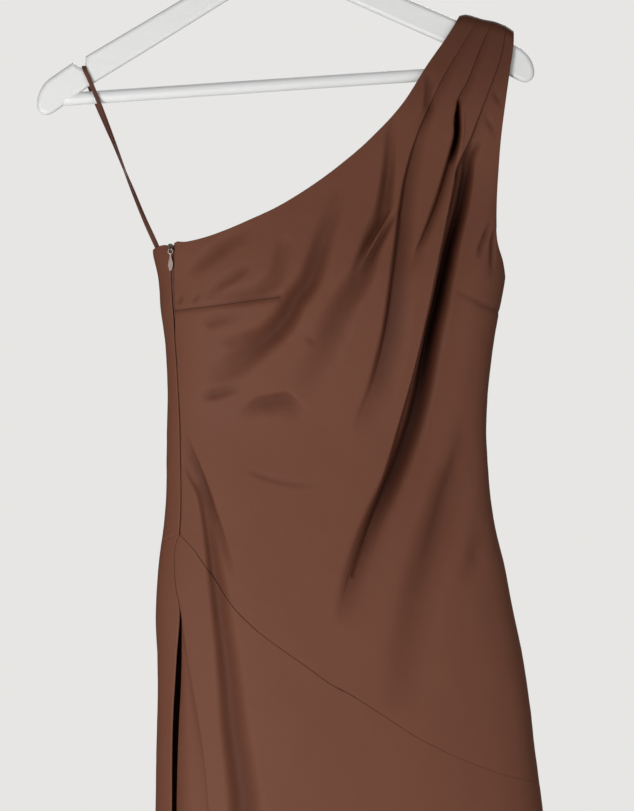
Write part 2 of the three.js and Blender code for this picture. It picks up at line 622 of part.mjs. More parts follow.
const SLIDER_SEAT = skin(girthAt(SLIDER_X + SLIDER_WIDTH / 2, SLIDER_Z, -1), SLIDER_Z, BODY_ROUND_DROP);
const PULL_PIVOT = new THREE.Vector3(
  SLIDER_X,
  SLIDER_SEAT.y + SLIDER_SEAT_GAP - SLIDER_DEPTH - TUNNEL_HALF_DEPTH,
  SLIDER_Z + PIVOT_RISE,
);

function toManifold(geometry) {
  const bare = geometry.clone();
  bare.deleteAttribute('normal');
  bare.deleteAttribute('uv');
  const merged = mergeVertices(bare, 1e-4);
  return new wasm.Manifold(new wasm.Mesh({
    numProp: 3,
    vertProperties: Float32Array.from(merged.attributes.position.array),
    triVerts: Uint32Array.from(merged.index.array),
  }));
}

function fromManifold(solid) {
  const mesh = solid.getMesh();
  const geometry = new THREE.BufferGeometry();
  geometry.setAttribute('position', new THREE.BufferAttribute(Float32Array.from(mesh.vertProperties), 3));
  geometry.setIndex(Array.from(mesh.triVerts));
  return geometry;
}

function block(width, depth, height, x, y, z) {
  return toManifold(new THREE.BoxGeometry(width, depth, height).translate(x, y, z));
}

// Slider body with a small bridge on its face, under which the pull tab's ring is held
function zipSlider() {
  const { x, y, z } = PULL_PIVOT;
  const bodyY = y + TUNNEL_HALF_DEPTH + SLIDER_DEPTH / 2;
  const bridgeHeight = 2 * (TUNNEL_HALF_LENGTH + BRIDGE_LEG);
  const bridgeDepth = 2 * TUNNEL_HALF_DEPTH + BRIDGE_LEG;
  const body = block(SLIDER_WIDTH, SLIDER_DEPTH, SLIDER_LENGTH, x, bodyY, SLIDER_Z);
  const shoulderWidth = SLIDER_WIDTH - 2 * SLIDER_SHOULDER_INSET;
  const shoulderDepth = SLIDER_DEPTH - SLIDER_SHOULDER_INSET;
  const shoulderZ = SLIDER_Z + SLIDER_LENGTH / 2;
  const shoulder = block(shoulderWidth, shoulderDepth, SLIDER_SHOULDER_HEIGHT, x, bodyY, shoulderZ);
  const bridgeY = y + (BRIDGE_ROOT - BRIDGE_LEG) / 2;
  const bridge = block(BRIDGE_WIDTH, bridgeDepth + BRIDGE_ROOT, bridgeHeight, x, bridgeY, z);
  const tunnel = block(SLIDER_WIDTH, 2 * TUNNEL_HALF_DEPTH, 2 * TUNNEL_HALF_LENGTH, x, y, z);
  return fromManifold(body.add(shoulder).add(bridge.subtract(tunnel)));
}

// Flat tab with a ring at its top and a drop-shaped grip, drawn about its pivot
function pullTab() {
  const ringCentre = PULL_THICKNESS / 2 - PULL_RING_RADIUS;
  const grip = PULL_WIDTH / 2;
  const gripCentre = grip + PULL_EASE - PULL_LENGTH;
  const gripBend = gripCentre + PULL_WIDTH;
  const neckTop = ringCentre - PULL_RING_RADIUS;
  const neckBend = neckTop - PULL_RING_RADIUS;
  const ringStart = Math.acos(PULL_NECK_HALF_WIDTH / PULL_RING_RADIUS);
  const outline = new THREE.Shape();
  outline.absarc(0, ringCentre, PULL_RING_RADIUS, -ringStart, Math.PI + ringStart, false);
  outline.bezierCurveTo(-PULL_NECK_HALF_WIDTH, neckBend, -grip, gripBend, -grip, gripCentre);
  outline.absarc(0, gripCentre, grip, Math.PI, 2 * Math.PI, false);
  const neckSide = outline.getPoints()[0];
  outline.bezierCurveTo(grip, gripBend, PULL_NECK_HALF_WIDTH, neckBend, neckSide.x, neckSide.y);
  const eye = new THREE.Path();
  eye.absarc(0, ringCentre, PULL_RING_RADIUS - PULL_THICKNESS, 0, 2 * Math.PI, true);
  outline.holes.push(eye);
  const settings = { depth: PULL_THICKNESS, bevelEnabled: false, curveSegments: 10 };
  const plate = new THREE.ExtrudeGeometry(outline, settings);
  plate.translate(0, 0, -PULL_THICKNESS / 2);
  plate.rotateX(Math.PI / 2);
  return plate;
}

// A flat ribbon along a line, its width turned from one end to the other
function ribbon(points, turns) {
  const knots = points.map((p) => new THREE.Vector3(...p));
  const path = new THREE.CatmullRomCurve3(knots, false, 'centripetal');
  const outer = [];
  const inner = [];
  for (let i = 0; i <= RIBBON_STEPS; i += 1) {
    const share = i / RIBBON_STEPS;
    const at = path.getPointAt(share);
    const along = path.getTangentAt(share);
    const sideways = new THREE.Vector3(1, 0, 0).projectOnPlane(along).normalize();
    const wide = sideways.applyAxisAngle(along, THREE.MathUtils.degToRad(spread(turns, share)));
    const thick = new THREE.Vector3().crossVectors(along, wide).normalize();
    const edges = [-1, 1].map((s) => at.clone().addScaledVector(wide, s * RIBBON_WIDTH / 2));
    outer.push(edges.map((p) => p.clone().addScaledVector(thick, RIBBON_THICKNESS / 2)));
    inner.push(edges.map((p) => p.clone().addScaledVector(thick, -RIBBON_THICKNESS / 2)));
  }
  return closedSheet(outer, inner);
}

// The loop leaves the dress inside its left top corner, passes over the hanger's notch and returns
const LOOP_LINE = [
  [-95.4, -6, -352], [-99.2, -5.4, -340.5], [-111.4, -5, -311], [-123.8, -6.6, -285], [-131, -7.6, -267.5],
  [-141, -8.4, -241], [-148, -8.4, -224.3], [-158.4, -8.4, -200], [-165.2, -8.2, -184.5],
  [-168.2, -8.3, -176], [-168.6, -7.5, -171.6], [-169, -5.2, -170.5], [-169.2, 0, -170.2],
  [-169, 5.2, -170.5], [-168.6, 7.5, -171.6], [-168.2, 8.3, -176], [-165.4, 8.4, -184.5],
  [-159.3, 8.4, -200], [-148, 8.4, -231],
  [-139.5, 7, -252], [-125.6, 5, -284.2], [-114, 3, -311], [-99.6, -0.6, -340.5], [-95.8, -0.6, -352],
];
const LOOP_TURNS = [80, 60, 50, 60, 30, 10, 0, 0, -10, -30, -50, -60, -70, -80];

// Upright outline of the hanger's wood, right half from the top down; the left half mirrors it
const armTop = (x) => APEX_HEIGHT - x * ARM_SLOPE;
const BAR_SEAT = BAR_HEIGHT + BAR_RADIUS + 2 * TOUCH_GAP;
const ARM_OUTLINE = [
  [8, armTop(9.1)], [30, armTop(30)], [175, armTop(175)], [178.5, -160.5], [183, -163.5],
  [188, -161.5], [190, armTop(190)], [206.3, -166.6], [215, -173.5], [221, -184.5],
  [223, -196.5], [220, -202], [213, -201.5], [203.3, -196.2], [203.3, BAR_SEAT],
  [188, BAR_SEAT], [50.9, -112.3], [26, -100.5], [10, -95.5],
];

function hangerArms() {
  const corners = [...ARM_OUTLINE, ...ARM_OUTLINE.map(([x, z]) => [-x, z]).reverse()];
  const outline = new THREE.Shape(corners.map(([x, z]) => new THREE.Vector2(x, z)).reverse());
  const wood = new THREE.ExtrudeGeometry(outline, {
    depth: ARM_THICKNESS - 2 * ARM_BEVEL,
    bevelEnabled: true,
    bevelThickness: ARM_BEVEL,
    bevelSize: ARM_BEVEL,
    bevelOffset: -ARM_BEVEL,
    bevelSegments: 2,
  });
  wood.translate(0, 0, ARM_BEVEL - ARM_THICKNESS / 2);
  wood.rotateX(Math.PI / 2);
  return wood;
}

// Wire hook: round over the rail, back under it, and down into the wood
function hangerHook() {
  const radius = HOOK_INNER_RADIUS + HOOK_WIRE_RADIUS;
  const centre = HOOK_WIRE_RADIUS - radius;
  const points = [];
  for (let i = 0; i <= HOOK_STEPS; i += 1) {
    const angle = THREE.MathUtils.degToRad(mix(HOOK_START, HOOK_END, i / HOOK_STEPS));
    points.push(new THREE.Vector3(radius * Math.cos(angle), 0, centre + radius * Math.sin(angle)));
  }
  HOOK_SHANK.forEach(([x, z]) => points.push(new THREE.Vector3(x, 0, z)));
  const wire = new THREE.Shape().absarc(0, 0, HOOK_WIRE_RADIUS, 0, 2 * Math.PI, false);
  const extrudePath = new THREE.CatmullRomCurve3(points, false, 'centripetal');
  return new THREE.ExtrudeGeometry(wire, { steps: 40, curveSegments: 4, extrudePath });
}

const dress = new THREE.Group();

function addPiece(group, name, geometry, material) {
  const mesh = new THREE.Mesh(geometry, material);
  mesh.name = name;
  group.add(mesh);
  return mesh;
}

const frontSkirt = skirtPanel(FRONT_SKIRT_COLUMNS, -1, SLIT_FRONT_MEASURED, FRONT_SEAM_BOW, FRONT_FOLDS);
const backSkirt = skirtPanel(BACK_COLUMNS, 1, SLIT_BACK_MEASURED, BACK_SEAM_BOW, BACK_FOLDS);
addPiece(dress, 'front_bodice', frontBodice(), dressCloth);
addPiece(dress, 'back_bodice', backBodice(), dressCloth);
addPiece(dress, 'front_skirt', frontSkirt, dressCloth);
addPiece(dress, 'back_skirt', backSkirt, dressCloth);
addPiece(dress, 'slit_underlap', slitUnderlap(), dressCloth);
addPiece(dress, 'zip_chain', zipChain(), zipNylon);
addPiece(dress, 'zip_slider', zipSlider(), paleMetal);
addPiece(dress, 'zip_pull', pullTab(), paleMetal).position.copy(PULL_PIVOT);
addPiece(dress, 'hanger_loop', ribbon(LOOP_LINE, LOOP_TURNS), ribbonSatin);

const hanger = new THREE.Group();
hanger.rotation.y = THREE.MathUtils.degToRad(HANGER_TILT);
addPiece(hanger, 'hanger_arms', hangerArms(), whitePaint);
const bar = new THREE.CylinderGeometry(BAR_RADIUS, BAR_RADIUS, 2 * BAR_HALF_LENGTH, BAR_SIDES);
addPiece(hanger, 'hanger_bar', bar.rotateZ(Math.PI / 2), whitePaint).position.z = BAR_HEIGHT;
addPiece(hanger, 'hanger_hook', hangerHook(), brightWire);
dress.add(hanger);

export default dress;
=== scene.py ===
# %% [markdown]
# # A one-shoulder satin dress on its hanger
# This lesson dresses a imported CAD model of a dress. The CAD gives the size and the place of every
# piece, and this script gives each one its fine shape and its finish. The cloth panels repeat the
# CAD's own tables and add the creases that plain solids leave out.

# %% Load the frame
import math

import bpy
import numpy as np
from mathutils import Matrix, Vector


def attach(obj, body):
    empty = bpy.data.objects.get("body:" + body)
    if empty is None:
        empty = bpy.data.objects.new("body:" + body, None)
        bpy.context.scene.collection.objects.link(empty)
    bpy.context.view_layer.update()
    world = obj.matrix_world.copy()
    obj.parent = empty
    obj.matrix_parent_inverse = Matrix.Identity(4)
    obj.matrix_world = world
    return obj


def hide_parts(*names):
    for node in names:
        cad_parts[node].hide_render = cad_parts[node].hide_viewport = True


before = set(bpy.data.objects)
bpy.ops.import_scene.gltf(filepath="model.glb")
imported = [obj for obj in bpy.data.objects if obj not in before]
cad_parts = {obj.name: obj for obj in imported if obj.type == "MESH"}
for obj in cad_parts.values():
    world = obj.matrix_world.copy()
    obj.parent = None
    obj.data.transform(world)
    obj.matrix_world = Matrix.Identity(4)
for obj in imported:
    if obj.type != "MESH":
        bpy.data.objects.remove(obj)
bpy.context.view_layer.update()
scene = bpy.context.scene

# %% [markdown]
# ## The camera
# The photograph is a level, straight view of the front. A long lens from far away keeps the
# upright lines parallel. The frame shows 0.9 mm of the dress to a pixel, so the lens follows from
# the picture's height and the distance.

# %% Set the camera
PICTURE_HEIGHT = 0.7299
CAMERA_DISTANCE = 5.0
# the dress's face stands about this far in front of the origin
FACE_DEPTH = 0.02
CAMERA_X = 0.0414
CAMERA_Z = -0.4793
SENSOR = 36.0

camera_data = bpy.data.cameras.new("camera")
camera_data.sensor_width = SENSOR
camera_data.lens = SENSOR * CAMERA_DISTANCE / PICTURE_HEIGHT
camera_data.clip_end = 100
camera = bpy.data.objects.new("camera", camera_data)
camera.location = (CAMERA_X, -CAMERA_DISTANCE - FACE_DEPTH, CAMERA_Z)
camera.rotation_euler = (math.radians(90), 0, 0)
scene.collection.objects.link(camera)
scene.camera = camera
print("lens", round(camera_data.lens, 1))

# %% [markdown]
# ## Tables and how they are read
# A pattern cutter keeps a garment as a few measured lines. Every edge here is such a line, in
# millimetres as x and z, and a smooth curve is read through it. Cubic pieces with matched slopes
# pass through each measured point, which a spline of control points would not.

# %% Read tables smoothly
def look_up(rows, at, column=1, key=0):
    """Smooth value of a table's column at places in its key column, which rises."""
    table = np.asarray(rows, float)
    keys = table[:, key]
    values = table[:, column]
    slopes = np.empty_like(values)
    slopes[1:-1] = (values[2:] - values[:-2]) / (keys[2:] - keys[:-2])
    slopes[0] = (values[1] - values[0]) / (keys[1] - keys[0])
    slopes[-1] = (values[-1] - values[-2]) / (keys[-1] - keys[-2])
    at = np.clip(at, keys[0], keys[-1])
    i = np.clip(np.searchsorted(keys, at, side="right") - 1, 0, len(keys) - 2)
    span = keys[i + 1] - keys[i]
    t = (at - keys[i]) / span
    ease = t * t * (3 - 2 * t)
    bend = span * t * (1 - t) * ((1 - t) * slopes[i] - t * slopes[i + 1])
    return values[i] * (1 - ease) + values[i + 1] * ease + bend


def x_at(line, z):
    """The x of a line that runs down, at the height z."""
    return look_up(line[::-1], z, 0, 1)


def measured(points):
    """The line with the share of its length in front of each point."""
    points = np.asarray(points, float)
    lengths = np.cumsum(np.linalg.norm(np.diff(points, axis=0, prepend=points[:1]), axis=1))
    return np.column_stack([lengths / lengths[-1], points])


def ease_between(low, high, value):
    share = np.clip((value - low) / (high - low), 0, 1)
    return share * share * (3 - 2 * share)


def mix(a, b, share):
    return a + (b - a) * share


def unit(vectors):
    """The vectors at length 1, and zero where they have none."""
    return vectors / np.maximum(np.linalg.norm(vectors, axis=-1, keepdims=True), 1e-9)


# %% Level sections of the hung dress
# height, left and right outline, depth to the front and to the back
SECTIONS = [
    [-128.7, -106.7, 227.7, 8.7, 8.7],
    [-168.3, -106.7, 223.2, 10, 10],
    [-204.3, -106.7, 218.7, 15, 14],
    [-249.3, -106.7, 214.2, 24, 21],
    [-294.3, -106.7, 211.5, 33, 28],
    [-341.1, -106.7, 211.1, 42, 34],
    [-363.6, -102.1, 211.5, 45.5, 36],
    [-394.2, -99.5, 205.7, 46.5, 36],
    [-423, -95.8, 201, 44.5, 34],
    [-463.5, -93.5, 196.1, 40.5, 31],
    [-503.1, -94, 194.2, 37, 29],
    [-551.7, -94.8, 197.1, 38.5, 34],
    [-587.7, -97.1, 202.3, 40.5, 38],
    [-621.9, -101.7, 210.2, 43, 42],
    [-669.6, -104.6, 219.7, 46, 46],
    [-707.4, -102.8, 227.3, 48, 48],
    [-746.1, -102.5, 233, 50, 50],
    [-792.9, -103.9, 238.7, 52, 51],
    [-844.2, -104.7, 245.3, 54, 52],
    [-1014.3, -107.1, 260.1, 58, 56],
    [-1378, -112.5, 285.3, 64, 62],
]
SECTIONS_UP = SECTIONS[::-1]
LEFT = 1
RIGHT = 2
FRONT_DEPTH = 3
BACK_DEPTH = 4
SECTION_POWER = 2.3
STRAP_ROUNDING = 8.5
STRAP_FLAT_DROP = 20
BODY_ROUND_DROP = 160


def section(z, column):
    return look_up(SECTIONS_UP, z, column)


# %% [markdown]
# ## The skin
# The hung dress is a flat tube, so each level section is a rounded oval. A girth share g runs
# round it: 0 at the left outline, 1 at the right one by the back and -1 at the right one by the
# front. One formula then places all panels, and their seams meet without any fitting.

# %% Points of the skin
def signed_power(value, power):
    return np.sign(value) * np.abs(value) ** power


def girth_at(x, z, side):
    """Girth share of the place x, z on the front (side -1) or on the back (side 1)."""
    left = section(z, LEFT)
    right = section(z, RIGHT)
    across = ((left + right) / 2 - x) / ((right - left) / 2)
    cosine = signed_power(np.clip(across, -1, 1), SECTION_POWER / 2)
    return side * np.arccos(cosine) / np.pi


def skin(g, z, drop):
    """Place on the skin. The drop below the strap's top turns the flat strap into the oval."""
    left = section(z, LEFT)
    right = section(z, RIGHT)
    angle = np.pi * np.abs(g)
    x = (left + right) / 2 - (right - left) / 2 * signed_power(np.cos(angle), 2 / SECTION_POWER)
    round_share = np.abs(np.sin(angle)) ** (2 / SECTION_POWER)
    share = 1 - (1 - round_share) * ease_between(STRAP_FLAT_DROP, BODY_ROUND_DROP, drop)
    over = np.sqrt(1 - (1 - np.clip(drop / STRAP_ROUNDING, 0, 1)) ** 2)
    depth = np.where(g < 0, -section(z, FRONT_DEPTH), section(z, BACK_DEPTH))
    return np.stack([x, depth * share * over, z + 0 * x], axis=-1)


NEIGHBOUR_GIRTH = 0.004
NEIGHBOUR_RISE = 0.5


def inward_at(g, z, drop):
    """Direction into the dress, from four neighbours on the skin."""
    low = np.maximum(-1, g - NEIGHBOUR_GIRTH)
    high = np.minimum(1, g + NEIGHBOUR_GIRTH)
    round_way = skin(high, z, drop) - skin(low, z, drop)
    up_way = (skin(g, z + NEIGHBOUR_RISE, drop - NEIGHBOUR_RISE)
              - skin(g, z - NEIGHBOUR_RISE, drop + NEIGHBOUR_RISE))
    return np.cross(round_way, up_way)


# %% [markdown]
# ## Folds
# A crease in hung cloth is a trough along a line, often steep on one side where a layer lies over
# the next. Each fold below has a depth, a width to the left and to the right, spread evenly along
# its line. A minus depth stands out as a ridge. Placing them one by one gives the real dress's own
# creases, which a cloth simulation would not find.

# %% Measure one fold
def smooth_line(points, steps=4):
    """The line with steps points to each of its stretches, through the same points."""
    points = np.asarray(points, float)
    if len(points) < 3:
        return points
    rows = np.column_stack([np.arange(len(points)), points])
    at = np.linspace(0, len(points) - 1, steps * (len(points) - 1) + 1)
    return np.column_stack([look_up(rows, at, 1), look_up(rows, at, 2)])


def spread(values, share):
    """Value spread evenly along a list."""
    return np.interp(share * (len(values) - 1), np.arange(len(values)), values)


def fold_depth(one, x, z):
    """How far a fold pushes the cloth in at the places x, z."""
    line = smooth_line(one["line"])
    reach = max(one["left"] + one["right"])
    low = line.min(axis=0) - reach
    high = line.max(axis=0) + reach
    near = (x > low[0]) & (x < high[0]) & (z > low[1]) & (z < high[1])
    depth = np.zeros_like(x)
    px = x[near]
    pz = z[near]
    best = np.full(px.shape, np.inf)
    share = np.zeros_like(px)
    to_right = np.zeros(px.shape, bool)
    for i in range(len(line) - 1):
        dx, dz = line[i + 1] - line[i]
        along = ((px - line[i, 0]) * dx + (pz - line[i, 1]) * dz) / (dx * dx + dz * dz)
        along = np.clip(along, 0, 1)
        off_x = px - line[i, 0] - along * dx
        off_z = pz - line[i, 1] - along * dz
        distance = np.hypot(off_x, off_z)
        closer = distance < best
        best = np.where(closer, distance, best)
        share = np.where(closer, (i + along) / (len(line) - 1), share)
        to_right = np.where(closer, dx * off_z - dz * off_x >= 0, to_right)
    width = np.where(to_right, spread(one["right"], share), spread(one["left"], share))
    depth[near] = spread(one["depth"], share) * (1 + np.cos(np.pi * np.minimum(best / width, 1))) / 2
    return depth


def fold(depth, left, right, line, shade=1.0):
    """A fold's tables; shade says how strongly its painted shade darkens the colour, 1 for most."""
    return {"depth": depth, "left": left, "right": right, "line": line, "shade": shade}


# %% Edges of the bodice
# Each edge runs down, as x and z
NECKLINE = [
    [170.1, -128.7], [157.5, -148.6], [141.7, -171.1], [117.9, -208.1], [89.3, -239.3],
    [64, -261.4], [38.7, -280.4], [6.9, -300.2], [-18.9, -312.3], [-39.9, -321.3],
    [-60.5, -328.4], [-79.4, -332.4], [-83.3, -331.4], [-86.9, -333.4],
]
ARMHOLE = [
    [218.9, -142.7], [218.3, -154.8], [215.6, -173.7], [211, -206.7], [207, -239.8],
    [205, -266.1], [203.7, -292.5], [203.4, -326.4], [205, -336.1], [209, -348.9],
    [211.5, -363.4],
]
ZIP_LINE = [
    [-88.6, -333.2], [-89, -359.1], [-88.6, -376.2], [-87.3, -401.4], [-86.8, -418.5],
    [-85.1, -441.9], [-83.4, -470.7], [-82.1, -501.3], [-81.3, -545.4], [-81.3, -573.3],
    [-82.3, -594.9],
]
SIDE_SEAM_ENDS = [-363.4, -820.8]
FRONT_HIP_SEAM = [
    [-82.3, -594.9], [-70, -608.4], [-56.7, -627.3], [-39.6, -653.4], [-14.5, -679.5],
    [9, -697.2], [32.7, -713.7], [56.2, -730.3], [98.1, -755.1], [135.9, -779],
    [174.1, -797.1], [212.1, -811.4], [242, -820.8],
]
BACK_NECKLINE = [
    [170.1, -128.7], [158.5, -150.6], [142.7, -174.6], [118.9, -213.6], [90.3, -246.3],
    [64, -268.4], [38.7, -287.4], [6.9, -307.2], [-18.9, -319.3], [-47, -330],
    [-80, -337.5], [-106.7, -340.7],
]
# share of the way across the strap's top, and its rise above a straight seam
STRAP_BOW = [[0, 0], [0.09, 2.3], [0.31, 1.5], [0.55, 2.2], [0.77, 1.4], [1, 0]]
STRAP_BOW_DROP = 22
# share of the way from the left outline to the zip, and height
STRIP_TOP = [
    [0, -340.7], [0.3, -339.2], [0.5, -337], [0.65, -335.4], [0.8, -334.8], [0.9, -335.2],
    [0.96, -336.4], [1, -337.4],
]
# share of the way from the zip round to the side seam, and height
BACK_HIP_SEAM = [
    [0, -594.9], [0.125, -607.5], [0.3, -655], [0.5, -712], [0.75, -780], [1, -820.8],
]
ZIP_HALF_GAPS = [[-600, 0.5], [-420, 0.5], [-390, 1.0], [-350, 1.6], [-330, 1.6]]

# %% Edges of the skirt
# The left seam below the zip bends to the left before it opens into the slit
SLIT_FRONT_EDGE = [
    [-82.2, -594.9], [-86.2, -606.6], [-86.9, -625.5], [-85, -644.4], [-81.4, -663.3],
    [-75.6, -703.8], [-67.5, -748.8], [-61.3, -787.5], [-55.8, -844.2], [-40.5, -1014.3],
    [-14.4, -1378],
]
SLIT_BACK_EDGE = [
    [-82.8, -594.9], [-86.9, -606.6], [-87.6, -625.5], [-85.8, -644.4], [-82.4, -663.3],
    [-85.5, -708.3], [-89.1, -775.8], [-89.8, -844.2], [-92.7, -1014.3], [-97.2, -1378],
]
UNDERLAP_EDGE = [
    [-82, -640], [-81.6, -694.8], [-82.6, -735.3], [-84.6, -775.8], [-86.4, -844.2],
    [-80.6, -1014.3], [-52, -1378],
]
HEM_HEIGHT = -1378

# %% Pleat lines of the front, from the shoulder seam down
PLEAT_1 = [
    [187.2, -130.5], [183.2, -137.4], [166.8, -163.2], [153.5, -185.6], [137.7, -218.6],
    [129.8, -238.4], [123.2, -259.6], [117.6, -285.3], [112.5, -326.7], [106.7, -377.1],
    [102.1, -410.4], [96, -439.2], [89.1, -464.9], [75.6, -501.3], [57.6, -555.3],
    [39.6, -618.3], [23.4, -709.2],
]
PLEAT_2 = [
    [200.7, -132.3], [197.8, -138.1], [190.5, -152.6], [176.9, -186.3], [168.4, -201.8],
    [164.3, -220.5], [164, -235.8], [159.2, -255.2], [154, -276.3], [146.2, -301.5],
    [132.8, -335.7], [124.4, -366.3], [117.9, -402.3], [110.7, -447.3], [98.1, -501.3],
    [80.1, -564.3], [60.3, -627.3], [37.8, -717.3],
]
PLEAT_3 = [
    [212.2, -136.4], [211.2, -143.4], [206.4, -167.1], [193.6, -201.2], [185.6, -221.8],
    [177.6, -242.6], [167.8, -263.7], [163.8, -285.3], [154.8, -331.2], [147.3, -369.9],
    [140.6, -402.3], [130, -447.3], [117, -493.2], [101.1, -545.4], [86.9, -587.7],
    [75.2, -620.6], [63.4, -658.4], [56.2, -690.3], [50.2, -727.2],
]
VALLEY = [
    [216, -138], [213.3, -168.3], [199.8, -213.3], [188.1, -238.5], [179.1, -254.7],
    [177.3, -272.7], [172.7, -300.6], [164.5, -333], [158.6, -360], [153.4, -386.1],
    [148.1, -406.8], [141.5, -439.2], [135, -470.7], [125.1, -503.1], [108, -545.4],
    [94, -573.3], [79.8, -606.6], [68, -644.4], [62.1, -676.8], [57.7, -729.9],
]

